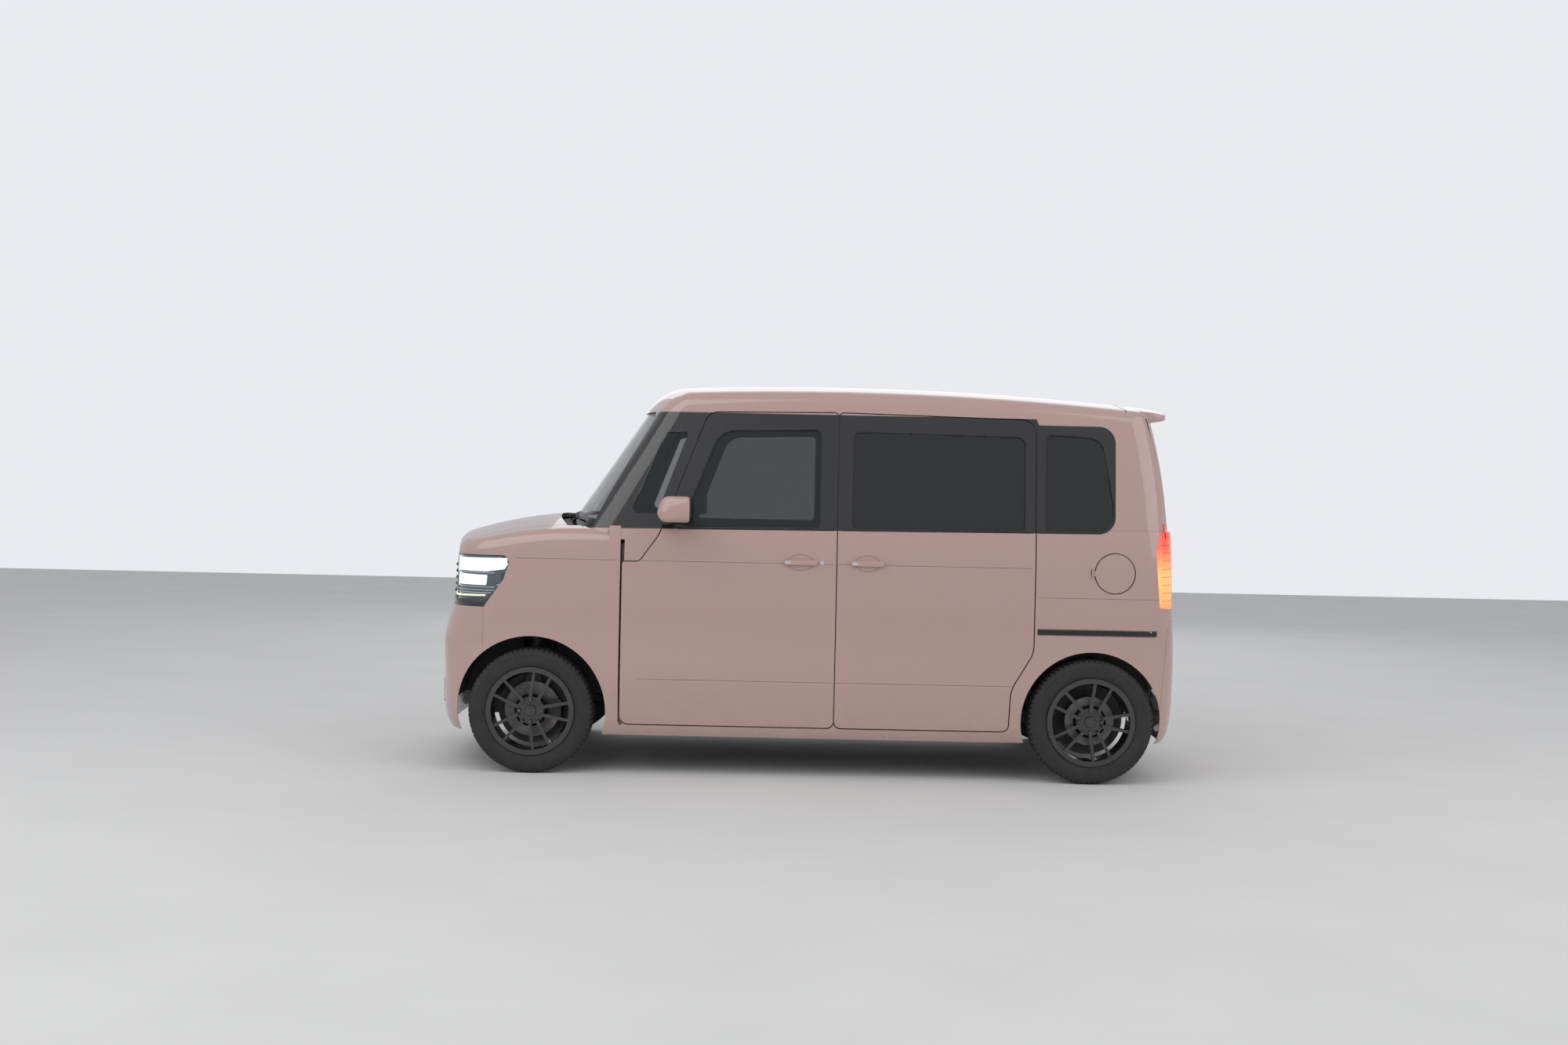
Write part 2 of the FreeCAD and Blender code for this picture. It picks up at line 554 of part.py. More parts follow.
# ---- front end: one skin, split where the panels meet ----
ahead = box(NOSE - 20, FENDER_LINE - s.seam, -REACH, 10, 150, 1300)
NOSE_END = LOWER.common(ahead)
front_arch = cylinder_y(FRONT_AXLE, HUB, s.front_arch_radius, OUTSIDE, 20)
hood_tool = prism(HOOD, "XY", 985, 1300)
hood_gap = prism(grown(HOOD, s.door_gap), "XY", 980, 1300)
bonnet = NOSE_END.common(hood_tool).cut([lower_skin(18), upper_loft(-COWL_REACH - s.door_gap)])
low, high = BONNET_HINGE_Y
bonnet_arm = box(-1160, BONNET_HINGE[0], low, high, BONNET_HINGE[1] - 7, BONNET_HINGE[1] + 28).cut(NOSE_END.cut(lower_skin(10)))
bonnet_arm = bonnet_arm.common(LOWER).cut(upper_loft(-COWL_REACH - s.door_gap).common(box(-1200, -900, -700, 0, 1095, 1300)))
bonnet = bonnet.fuse([bonnet_arm, cylinder_y(*BONNET_HINGE, PIN, low - 10, high + 10), cylinder_y(*BONNET_HINGE, 9, low, high)])
node("bonnet", whole(solids_of(bonnet)))
skin = NOSE_END.cut([lower_skin(s.skin_wall), front_arch])
cowl_room = upper_loft(-COWL_REACH).common(box(-1300, -700, -620, 10, 1000, 1300))
cowl = lower_skin(s.cowl_drop).common(cowl_room).cut([upper_loft(-s.seam), box(-1300, -700, -700, 10, 900, 1062)])
low, high = BONNET_HINGE_Y
cowl = cowl.cut([
    box(-1200, BONNET_HINGE[0] + 14, low - 1, high + 1, BONNET_HINGE[1] - 14, 1200),
    cylinder_y(*BONNET_HINGE, PIN + s.pin_fit, low - 12, high + 12),
])
node("cowl", whole(solids_of(cowl)))
node("front_bumper", whole(solids_of(skin.common(side_tool(FRONT_BUMPER, 0, OUTSIDE, 20)))))
wing = skin.cut([
    hood_gap, upper_loft(-s.seam), cowl_room, side_tool(FRONT_BUMPER, s.seam, OUTSIDE, 20), side_tool(FRONT_FACE, s.seam, OUTSIDE, 20),
])
wing = solids_of(wing.common(box(-1800, -700, OUTSIDE, -500, 150, 1300)))
node("front_wing_left", wing)
node("front_wing_right", mirrored(wing))
face = NOSE_END.common(side_tool(FRONT_FACE, 0, OUTSIDE, 20)).cut([lower_loft(60), front_arch])
LAMP_INNER = -330
lamp = solids_of(face.common(box(NOSE - 10, -1200, OUTSIDE, LAMP_INNER, 765, 985)))
node("headlamps", both(lamp))
grille = solids_of(face.cut(box(NOSE - 10, -1200, OUTSIDE, LAMP_INNER + s.seam, 765 - s.seam, 985)))
node("grille", whole(grille))

# ---- rear end ----
bumper = LOWER.common(side_tool(TAIL_BUMPER, 0, OUTSIDE, 20))
bumper = bumper.cut([lower_loft(s.skin_wall), end_tool(TAILGATE, 1400, 1800, s.door_gap), rear_arch])
node("rear_bumper", whole(solids_of(bumper)))
tail_lamp = OUTER.common(side_tool(TAIL_LAMP)).cut([DOOR_INNER, end_tool(TAILGATE, 1400, 1800, s.door_gap)])
node("tail_lamps", both(solids_of(tail_lamp)))


# ---- pieces made from sketches ----
def value(expression):
    return float(sheet.evalExpression(expression))


def origin_plane(body, role):
    return next(f for f in body.Origin.OriginFeatures if f.Role == role)


def sketch_loop(body, name, role, corners):
    """A closed sketch through corners (across, up, radius of the arc to the next or None), all bound to the sheet.

    The arcs bulge to the left of the path, and a negative radius to the right.
    """
    sketch = body.newObject("Sketcher::SketchObject", name)
    sketch.AttachmentSupport = [(origin_plane(body, role), "")]
    sketch.MapMode = "FlatFace"
    count = len(corners)
    points = [V(value(a), value(b), 0) for a, b, _ in corners]
    ends = []
    for i, (_, _, bulge) in enumerate(corners):
        p, q = points[i], points[(i + 1) % count]
        if bulge is None:
            sketch.addGeometry(Part.LineSegment(p, q))
            ends.append((1, 2))
            continue
        radius = abs(value(bulge))
        left = V(-(q - p).y, (q - p).x, 0)
        left.normalize()
        half = (q - p).Length / 2
        sagitta = radius - math.sqrt(radius * radius - half * half)
        sign = -1 if bulge.startswith("-") else 1
        sketch.addGeometry(Part.ArcOfCircle(p, (p + q) * 0.5 + left * (sign * sagitta), q))
        ends.append((1, 2) if (sketch.getPoint(i, 1) - p).Length < 1e-6 else (2, 1))
    for i, (a, b, bulge) in enumerate(corners):
        j = (i + 1) % count
        sketch.addConstraint(Sketcher.Constraint("Coincident", i, ends[i][1], j, ends[j][0]))
        for kind, expression in (("DistanceX", a), ("DistanceY", b)):
            index = sketch.addConstraint(Sketcher.Constraint(kind, -1, 1, i, ends[i][0], value(expression)))
            sketch.setExpression(f"Constraints[{index}]", expression)
        if bulge is not None:
            index = sketch.addConstraint(Sketcher.Constraint("Radius", i, abs(value(bulge))))
            sketch.setExpression(f"Constraints[{index}]", bulge.lstrip("-"))
    return sketch


def revolved(body, sketch, kind="PartDesign::Revolution", name="Turned"):
    feature = body.newObject(kind, name)
    feature.Profile = sketch
    feature.ReferenceAxis = (sketch, ["V_Axis"])
    feature.Angle = 360
    return feature


S = "Sizes."
BEAD = f"{S}rim_diameter / 2"
CROWN = f"{S}tyre_diameter / 2"
FLANK = f"{S}tyre_width / 2"
# Half a tyre section, crown to bead: radius, place across the tyre.
TYRE_HALF = (
    (CROWN, f"{FLANK} - 30"), (f"{CROWN} - 13", f"{FLANK} - 8"), (f"{CROWN} - 45", FLANK),
    (f"{BEAD} + {S}running_fit", f"{FLANK} - 12"),
)
TYRE = tuple((r, y, None) for r, y in TYRE_HALF) + tuple((r, f"-({y})", None) for r, y in reversed(TYRE_HALF))
BARREL = (
    (f"{S}rim_diameter / 2 - 15", "-82", None), (f"{S}rim_diameter / 2 + 7", "-82", None),
    (f"{S}rim_diameter / 2 + 7", "-78", None), (f"{S}rim_diameter / 2", "-78", None),
    (f"{S}rim_diameter / 2", "78", None), (f"{S}rim_diameter / 2 + 7", "78", None),
    (f"{S}rim_diameter / 2 + 7", "82", None), (f"{S}rim_diameter / 2 - 6", "82", None),
    (f"{S}rim_diameter / 2 - 9", "-20", None), (f"{S}rim_diameter / 2 - 15", "-40", None),
)
HUB_DISC = (
    ("18.3", "-24", None), ("74", "-24", None), ("74", "-38", None), ("62", "-52", None), ("18.3", "-56", None),
)
DRUM = (("18.3", "-23.7", None), ("110", "-23.7", None), ("110", "24", None), ("18.3", "24", None))
DISC = (
    ("18.3", "-23.7", None), ("70", "-23.7", None), ("70", "8", None), (f"{S}disc_diameter / 2", "8", None),
    (f"{S}disc_diameter / 2", "20", None), ("18.3", "20", None),
)


def body_at(name, x, y, turned):
    """A body whose own origin is a wheel centre, its outside facing away from the car."""
    body = doc.addObject("PartDesign::Body", name)
    body.Label = name
    body.Placement = FreeCAD.Placement(V(0, 0, 0), FreeCAD.Rotation(V(0, 0, 1), 180 if turned else 0))
    body.setExpression("Placement.Base.x", x)
    body.setExpression("Placement.Base.y", y)
    body.setExpression("Placement.Base.z", f"{S}tyre_diameter / 2")
    named[name] = body
    return body


def turned_body(name, x, y, turned, profile):
    body = body_at(name, x, y, turned)
    revolved(body, sketch_loop(body, name + "_profile", "XY_Plane", profile))
    return body


def make_rim(name, x, y, turned):
    """Alloy wheel: a turned barrel and hub, and five pairs of spokes."""
    body = turned_body(name, x, y, turned, BARREL)
    revolved(body, sketch_loop(body, name + "_hub", "XY_Plane", HUB_DISC), name="Hub")
    for side_name, sign in (("Upper", ""), ("Lower", "-")):
        spoke = sketch_loop(body, name + side_name, "XZ_Plane", (
            ("54", f"{sign}10", None), (f"{S}rim_diameter / 2 - 10", f"{sign}{S}spoke_spread", None),
            (f"{S}rim_diameter / 2 - 13", f"{sign}({S}spoke_spread + 13)", None), ("50", f"{sign}25", None),
        ))
        spoke.AttachmentOffset = FreeCAD.Placement(V(0, 0, 48), FreeCAD.Rotation())
        pad = body.newObject("PartDesign::Pad", side_name + "Spoke")
        pad.Profile = spoke
        pad.setExpression("Length", f"{S}spoke_depth")
        doc.recompute()
        pattern = body.newObject("PartDesign::PolarPattern", side_name + "Spokes")
        pattern.Originals = [pad]
        pattern.Axis = (spoke, ["N_Axis"])
        pattern.Angle = 360
        pattern.Occurrences = 5
        body.Tip = pattern
        doc.recompute()
    return body


AXLES = (
    ("front", f"{S}front_overhang - {S}body_length / 2", "brake_disc", DISC),
    ("rear", f"{S}front_overhang - {S}body_length / 2 + {S}wheelbase", "brake_drum", DRUM),
)
for axle, x, brake, brake_profile in AXLES:
    for hand, y, turned in (("left", f"-{S}wheel_track / 2", False), ("right", f"{S}wheel_track / 2", True)):
        turned_body(f"tyre_{axle}_{hand}", x, y, turned, TYRE)
        make_rim(f"rim_{axle}_{hand}", x, y, turned)
        turned_body(f"{brake}_{hand}", x, y, turned, brake_profile)
doc.recompute()


# ---- running gear ----
def rod(start, end, radius):
    direction = end - start
    return Part.makeCylinder(radius, direction.Length, start, direction)


def fused(*shapes):
    return shapes[0].multiFuse(list(shapes[1:])).removeSplitter()


BALL_JOINT = V(FRONT_AXLE, -588, 172)
STRUT_TOP = V(FRONT_AXLE, -480, 818)
steer = STRUT_TOP - BALL_JOINT


def on_steer(height):
    return BALL_JOINT + steer * ((height - BALL_JOINT.z) / steer.z)


stub = s.stub_diameter / 2
hub_face = WHEEL_Y - 26
upright = prism(((-34, 186, 14), (34, 186, 14), (62, HUB, 40), (30, 440, 16), (-30, 440, 16), (-62, HUB, 40)), "XZ", -612, -590)
upright.translate(V(FRONT_AXLE, 0, 0))
knuckle = fused(
    upright,
    rod(V(FRONT_AXLE, -WHEEL_Y - 52, HUB), V(FRONT_AXLE, -595, HUB), stub),
    rod(on_steer(186), on_steer(215), 17),
    box(FRONT_AXLE - 22, FRONT_AXLE + 22, -600, -535, 400, 440),
    rod(on_steer(392), STRUT_TOP, 23),
    Part.makeCone(62, 72, 14, on_steer(600), steer),
    rod(on_steer(600), on_steer(780), 55),
    box(FRONT_AXLE + 78, FRONT_AXLE + 132, -654, -606, HUB - 45, HUB + 45).cut(
        box(FRONT_AXLE + 70, FRONT_AXLE + 127, -640, -622, HUB - 46, HUB + 46)),
    box(FRONT_AXLE + 50, FRONT_AXLE + 132, -607, -596, HUB - 30, HUB + 30),
)
node("knuckle_left", knuckle)
node("knuckle_right", mirrored(knuckle))

arm = prism(((-1300, -330, 20), (-1245, -598, 26), (-1200, -598, 26), (-1110, -330, 20)), "XY", 146, 168)
half_frame = fused(
    arm,
    box(-1310, -1100, -345, 0, 150, 215),
    box(-1260, -1180, -345, -305, 215, 401),
    rod(on_steer(160), on_steer(180.5), 9),
)
node("front_subframe", whole(half_frame).removeSplitter())
half_rail = fused(
    box(-1620, -1061, -395, -325, 401, 480),
    prism(((-1668, 10, 0), (-1612, -560, 0), (-1580, -560, 0), (-1628, 10, 0)), "XY", 410, 490),
    box(-1545, -1513, -395, -325, 401, 760),
    box(-1545, -1513, -395, 10, 725, 757),
    box(-1545, -1513, -395, 10, 402, 440),
    rod(V(FRONT_AXLE, -480, 822.5), V(FRONT_AXLE, -480, 829), 70),
    box(FRONT_AXLE - 60, FRONT_AXLE + 60, -545, -335, 828, 848),
    box(FRONT_AXLE - 60, FRONT_AXLE + 60, -350, -335, 440, 848),
    box(FRONT_AXLE + 40, -1061, -350, -335, 640, 848),
)
node("front_rails", whole(half_rail.common(box(-1700, -1000, -600, 0, 390, 860))).removeSplitter())

hub_end = -WHEEL_Y - 52
half_axle = fused(
    rod(V(REAR_AXLE, hub_end, HUB), V(REAR_AXLE, -470, HUB), stub),
    box(905, REAR_AXLE + 40, -530, -470, HUB - 25, HUB + 25),
    box(985, 1045, -530, 0, HUB - 30, HUB + 30),
    rod(V(REAR_AXLE - 90, -485, HUB + 20), V(REAR_AXLE - 90, -485, 419.7), 45),
    rod(V(925, -545, HUB), V(925, -455, HUB), 32),
)
node("rear_axle", whole(half_axle).removeSplitter())

# ---- floor, bulkhead and wheel housings ----
FLOOR_ROOM = lower_loft(s.side_wall + s.seam)
band = prism((
    (-1060, 1055, 0), (-1060, 560, 30), (-870, 290, 60), (690, 290, 60), (850, 420, 60), (1640, 420, 0),
    (1640, 460, 0), (828, 460, 60), (668, 330, 60), (-850, 330, 40),
    (-1025, 575, 30), (-1025, 1055, 0),
), "XZ", -HALF, 10)
housing = cylinder_y(REAR_AXLE, HUB, 330, -640, -535).cut(box(900, 1700, -700, -400, 0, 400))
front_clear = cylinder_y(FRONT_AXLE, HUB, 352, OUTSIDE, -403)
rear_clear = cylinder_y(REAR_AXLE, HUB, 322, OUTSIDE, -545)
pan = band.fuse(housing).common(FLOOR_ROOM).cut([front_clear, rear_clear])
node("floor_pan", whole(solids_of(pan, 50000)))
liner = cylinder_y(FRONT_AXLE, HUB, 350, -726, -404).cut(cylinder_y(FRONT_AXLE, HUB, 345, -800, -409))
liner = liner.common(box(-1700, -700, -800, -400, 330, 700)).common(lower_loft(s.skin_wall + s.running_fit))
liner = liner.cut([box(FRONT_AXLE - 75, FRONT_AXLE + 75, -600, -400, 540, 700), box(-1100, -1000, -420, -400, 250, 420)])
node("wheel_liners", both(solids_of(liner)))


def bound_box(name, sizes, corner):
    """A plain block whose sizes and place follow the sheet."""
    block = doc.addObject("Part::Box", name)
    block.Label = name
    for prop, expression in zip(("Length", "Width", "Height"), sizes):
        block.setExpression(prop, expression)
    for axis, expression in zip("xyz", corner):
        block.setExpression(f"Placement.Base.{axis}", expression)
    named[name] = block
    return block


bound_box("engine_block", (f"{S}engine_length", f"{S}engine_width", f"{S}engine_height"),
          ("-1480", f"-{S}engine_width / 2", "215.3"))
bound_box("fuel_tank", (f"{S}tank_length", f"{S}tank_width", f"{S}tank_height"),
          ("-120", f"-{S}tank_width / 2", f"{S}floor_height - {S}floor_wall - {S}tank_height - 0.3"))
pipe = fused(
    rod(V(-1090, 90, 260), V(-700, 90, 232), 22), rod(V(-700, 90, 232), V(-250, 90, 170), 22),
    rod(V(-250, 90, 170), V(700, 90, 170), 22), rod(V(700, 90, 170), V(1100, 90, 195), 22),
    rod(V(1100, 90, 195), V(1340, 90, 320), 22),
    prism(((1330, 250, 50), (1330, 408, 50), (1560, 408, 50), (1560, 250, 50)), "XZ", -200, 240),
    rod(V(1500, 200, 300), V(1660, 200, 240), 20),
)
node("exhaust", pipe)

# ---- cabin ----
dash = prism(((-1020, 640, 0), (-1020, 1050, 0), (-760, 1075, 60), (-690, 1000, 60), (-720, 800, 60), (-880, 640, 60)), "XZ", -620, 620)
dash = dash.common(whole(core(s.side_wall + 4, s.frame_wall + 6)))
node("dashboard", solids_of(dash))
column = rod(V(-860, s.driver_offset, 815), V(-540, s.driver_offset, 940), 24)
hoop_axis = V(320, 0, 125)
hoop_axis.normalize()
hoop_centre = V(-520, s.driver_offset, 948)
node("steering_column", rod(V(-800, s.driver_offset, 838.5), V(-563, s.driver_offset, 931.2), 30).cut(dash))
section = Part.Face(loop([(s.wheel_hoop / 2 - 15 + 14 * math.cos(math.radians(a)), 14 * math.sin(math.radians(a)), 0)
                          for a in range(0, 360, 45)], "XZ", 0))
hoop = section.revolve(V(0, 0, 0), V(0, 0, 1), 360)
hoop.Placement = FreeCAD.Placement(hoop_centre, FreeCAD.Rotation(V(0, 0, 1), hoop_axis))
across = Part.makeBox(14, s.wheel_hoop - 40, 36, V(-7, -s.wheel_hoop / 2 + 20, -18))
down = Part.makeBox(14, 36, s.wheel_hoop / 2 - 20, V(-7, -18, -s.wheel_hoop / 2 + 20))
boss = Part.makeCylinder(55, 40, V(-30, 0, 0), V(1, 0, 0))
spider = across.fuse([down, boss])
spider.Placement = FreeCAD.Placement(hoop_centre, FreeCAD.Rotation(V(1, 0, 0), hoop_axis))
node("steering_wheel", hoop.fuse(spider).removeSplitter())


def seat(x, y, width, cushion, back_height, lean):
    """Cushion, leaning back and head rest of one seat."""
    pad = prism(((x, 0, 40), (x + cushion, 0, 40), (x + cushion, 150, 60), (x, 170, 60)), "XZ", y - width / 2, y + width / 2)
    rest = prism((
        (x + cushion - 40, 40, 30), (x + cushion + 80, 40, 40), (x + cushion + 80 + lean, back_height, 45),
        (x + cushion - 30 + lean, back_height, 45),
    ), "XZ", y - width / 2, y + width / 2)
    head = prism((
        (x + cushion + lean - 10, back_height + 35, 30), (x + cushion + lean + 70, back_height + 35, 30),
        (x + cushion + lean + 90, back_height + 190, 35), (x + cushion + lean, back_height + 190, 35),
    ), "XZ", y - 130, y + 130)
    stays = [rod(V(x + cushion + lean + 25, y + dy, back_height - 30), V(x + cushion + lean + 30, y + dy, back_height + 60), 6) for dy in (-60, 60)]
    return fused(pad, rest, head, *stays)


front_seat = seat(-430, -s.driver_offset, s.seat_width, 480, 620, 100)
front_seat.translate(V(0, 0, 500))
base = box(-380, 0, -s.driver_offset - 190, -s.driver_offset + 190, s.floor_height + 0.3, 500)
node("front_seats", both(fused(front_seat, base)))
rear_seat = seat(560, -300, 580, 440, 560, 110)
rear_seat.translate(V(0, 0, 540))
rear_base = box(640, 990, -580, -20, s.load_floor_height - 20 + 0.3, 540)
node("rear_seat", both(fused(rear_seat, rear_base)))

# ---- mirrors ----
housing_y = prism(((-905, 1150, 45), (-905, 1250, 45), (-760, 1258, 40), (-760, 1142, 40)), "YZ", -665, -575)
mirror_arm = box(-650, -610, -770, -700, 1135, 1160)
mirror_shape = housing_y.fuse(mirror_arm).cut(OUTER.common(box(-900, -500, -900, -600, 900, 1400)))
node("mirror_left", solids_of(mirror_shape))
node("mirror_right", mirrored(solids_of(mirror_shape)))

doc.recompute()
for entry in doc.Objects:
    if "Invalid" in entry.State or "Error" in entry.State:
        raise RuntimeError(f"{entry.Name} failed: {entry.State}")
for key, feature in named.items():
    if feature.Shape.isNull() or not feature.Shape.isValid():
        raise RuntimeError(f"{key} has no valid shape")
os.makedirs("parts", exist_ok=True)
for key, feature in named.items():
    feature.Shape.exportStep(f"parts/{key}.step")
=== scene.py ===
"""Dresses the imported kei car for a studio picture.

All lengths are in metres in the car's own frame: the nose points to -X, the left side
to -Y, and the tyres stand on z = 0.
"""

import json
import logging
import math
from dataclasses import dataclass
from enum import Enum
from typing import Callable, Iterable, Sequence

import bmesh
import bpy
from mathutils import Matrix, Vector
from mathutils.bvhtree import BVHTree

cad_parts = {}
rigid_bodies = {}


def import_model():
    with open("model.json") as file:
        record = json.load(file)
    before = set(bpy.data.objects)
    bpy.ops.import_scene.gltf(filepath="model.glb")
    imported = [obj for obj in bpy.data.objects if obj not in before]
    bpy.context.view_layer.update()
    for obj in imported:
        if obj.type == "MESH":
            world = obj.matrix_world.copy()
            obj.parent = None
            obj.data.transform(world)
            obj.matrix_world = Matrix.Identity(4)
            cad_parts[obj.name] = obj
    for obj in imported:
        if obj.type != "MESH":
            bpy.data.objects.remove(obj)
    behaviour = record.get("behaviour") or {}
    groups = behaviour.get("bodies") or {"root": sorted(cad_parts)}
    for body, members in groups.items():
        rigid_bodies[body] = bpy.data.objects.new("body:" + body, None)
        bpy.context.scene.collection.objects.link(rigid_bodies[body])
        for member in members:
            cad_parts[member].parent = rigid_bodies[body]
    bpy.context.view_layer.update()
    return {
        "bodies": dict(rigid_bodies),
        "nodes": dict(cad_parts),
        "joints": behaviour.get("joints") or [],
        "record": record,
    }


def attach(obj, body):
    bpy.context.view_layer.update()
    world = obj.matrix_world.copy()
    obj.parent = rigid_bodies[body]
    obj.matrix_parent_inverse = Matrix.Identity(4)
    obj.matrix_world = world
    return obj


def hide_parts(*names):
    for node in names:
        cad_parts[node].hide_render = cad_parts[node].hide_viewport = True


LOG = logging.getLogger("kei_car")

Colour = tuple[float, float, float]
Point = tuple[float, float, float]


# Materials


class Sheet:
    """The node tree of one material, with short calls for the nodes used here."""

    def __init__(self, name: str) -> None:
        """Starts a material that holds one Principled shader.

        Args:
            name: the material's name.
        """
        self.material = bpy.data.materials.new(name)
        self.material.use_nodes = True
        self.tree = self.material.node_tree
        self.shader = self.tree.nodes["Principled BSDF"]
        self.place = self.tree.nodes.new("ShaderNodeTexCoord").outputs["Object"]
        split = self.node("ShaderNodeSeparateXYZ", Vector=self.place)
        self.x, self.y, self.z = split.outputs

    def node(self, kind: str, **inputs: object) -> bpy.types.Node:
        """Adds a node and sets or links its inputs.

        Args:
            kind: the node's class name.
            inputs: socket names, with underscores for spaces, and their values or sockets.

        Returns:
            The new node.
        """
        made = self.tree.nodes.new(kind)
        for name, value in inputs.items():
            self.feed(made.inputs[name.replace("_", " ")], value)
        return made

    def feed(self, socket: bpy.types.NodeSocket, value: object) -> None:
        """Links a socket, or sets it to a plain value."""
        if isinstance(value, bpy.types.NodeSocket):
            self.tree.links.new(value, socket)
        else:
            socket.default_value = value

    def sum(self, kind: str, a: object, b: object = 0.0, c: object = 0.0) -> bpy.types.NodeSocket:
        """The result of one Math node of that kind."""
        made = self.tree.nodes.new("ShaderNodeMath")
        made.operation = kind
        for socket, value in zip(made.inputs, (a, b, c)):
            self.feed(socket, value)
        return made.outputs[0]

    def blend(self, share: object, a: object, b: object) -> bpy.types.NodeSocket:
        """Two colours mixed by a share."""
        made = self.tree.nodes.new("ShaderNodeMix")
        made.data_type = "RGBA"
        for name, value in zip(("Factor_Float", "A_Color", "B_Color"), (share, a, b)):
            socket = next(s for s in made.inputs if s.identifier == name)
            self.feed(socket, (*value, 1.0) if isinstance(value, tuple) and len(value) == 3 else value)
        return next(s for s in made.outputs if s.identifier == "Result_Color")

    def noise(self, scale: float, detail: float = 3.0, rough: float = 0.5) -> bpy.types.NodeSocket:
        """Noise in the car's own frame, from 0 to 1."""
        return self.node("ShaderNodeTexNoise", Vector=self.place, Scale=scale, Detail=detail,
                         Roughness=rough).outputs[0]

    def spread(self, value: object, low: float, high: float, to_low: float,
               to_high: float) -> bpy.types.NodeSocket:
        """A value carried from one range to another and held inside it."""
        made = self.node("ShaderNodeMapRange", Value=value)
        for name, number in (("From Min", low), ("From Max", high), ("To Min", to_low), ("To Max", to_high)):
            made.inputs[name].default_value = number
        return made.outputs[0]

    def ramp(self, value: object, stops: Sequence[tuple[float, Colour]]) -> bpy.types.NodeSocket:
        """A colour read off a ramp of (place, colour) stops."""
        made = self.node("ShaderNodeValToRGB", Fac=value)
        while len(made.color_ramp.elements) < len(stops):
            made.color_ramp.elements.new(0.5)
        for element, (place, colour) in zip(made.color_ramp.elements, stops):
            element.position = place
            element.color = (*colour, 1.0)
        return made.outputs["Color"]

    def facing(self) -> Sequence[bpy.types.NodeSocket]:
        """The surface's outward way in the car's own frame, as x, y and z."""
        world = self.tree.nodes.new("ShaderNodeNewGeometry").outputs["Normal"]
        own = self.node("ShaderNodeVectorTransform", Vector=world)
        own.vector_type, own.convert_from, own.convert_to = "NORMAL", "WORLD", "OBJECT"
        return self.node("ShaderNodeSeparateXYZ", Vector=own.outputs[0]).outputs

    def bump(self, height: object, depth: float, strength: float = 1.0) -> None:
        """Gives the shader a bump of that depth in metres."""
        made = self.node("ShaderNodeBump", Height=height, Strength=strength, Distance=depth)
        self.feed(self.shader.inputs["Normal"], made.outputs[0])

    def set(self, **inputs: object) -> "Sheet":
        """Sets or links inputs of the shader, and returns the sheet."""
        for name, value in inputs.items():
            if isinstance(value, tuple) and len(value) == 3:
                value = (*value, 1.0)
            self.feed(self.shader.inputs[name.replace("_", " ")], value)
        return self


@dataclass(frozen=True)
class GlasshouseBand:
    """The gloss black band round the side windows, as a share from 0 to 1 in a material."""

    belt: float = 1.117
    belt_rise: float = 0.008
    top: float = 1.640
    top_behind: float = 1.612
    step_from: float = 1.034
    rear: float = 1.392
    corner: float = 0.075
    middle: float = 0.50

    def share(self, sheet: Sheet) -> bpy.types.NodeSocket:
        """One inside the band on either side of the car, and nought elsewhere.

        Args:
            sheet: the material that reads it.

        Returns:
            The socket that gives the share.
        """
        belt = sheet.sum("MULTIPLY_ADD", sheet.x, self.belt_rise, self.belt + self.corner)
        below = sheet.sum("MAXIMUM", sheet.sum("SUBTRACT", belt, sheet.z), 0.0)
        top = sheet.spread(sheet.x, self.step_from, self.step_from + 0.012, self.top - self.corner,
                           self.top_behind - self.corner)
        above = sheet.sum("MAXIMUM", sheet.sum("SUBTRACT", sheet.z, top), 0.0)
        behind = sheet.sum("MAXIMUM", sheet.sum("SUBTRACT", sheet.x, self.rear - self.corner), 0.0)
        upright = sheet.sum("MAXIMUM", below, above)
        rim = sheet.sum("SQRT",
                        sheet.sum("ADD", sheet.sum("POWER", upright, 2.0), sheet.sum("POWER", behind, 2.0)))
        inside = sheet.spread(rim, self.corner - 0.0004, self.corner + 0.0004, 1.0, 0.0)
        side = sheet.sum("GREATER_THAN", sheet.sum("ABSOLUTE", sheet.y), self.middle)
        return sheet.sum("MULTIPLY", inside, side)


class Lining(Enum):
    """Which way a panel's inner face looks, and so gets the cabin's lining."""

    SIDE = "side"
    ROOF = "roof"
    GATE = "gate"

    @property
    def threshold(self) -> float:
        """How squarely a face has to look inward to count as lining."""
        return 0.35

    def share(self, sheet: Sheet) -> bpy.types.NodeSocket:
        """One on the inner face and nought elsewhere."""
        x, y, z = sheet.facing()
        if self is Lining.ROOF:
            inward = sheet.sum("MULTIPLY", z, -1.0)
        elif self is Lining.GATE:
            inward = sheet.sum("MULTIPLY", x, -1.0)
        else:
            inward = sheet.sum("MULTIPLY", sheet.sum("MULTIPLY", y, sheet.sum("SIGN", sheet.y)), -1.0)
        return sheet.sum("GREATER_THAN", inward, self.threshold)


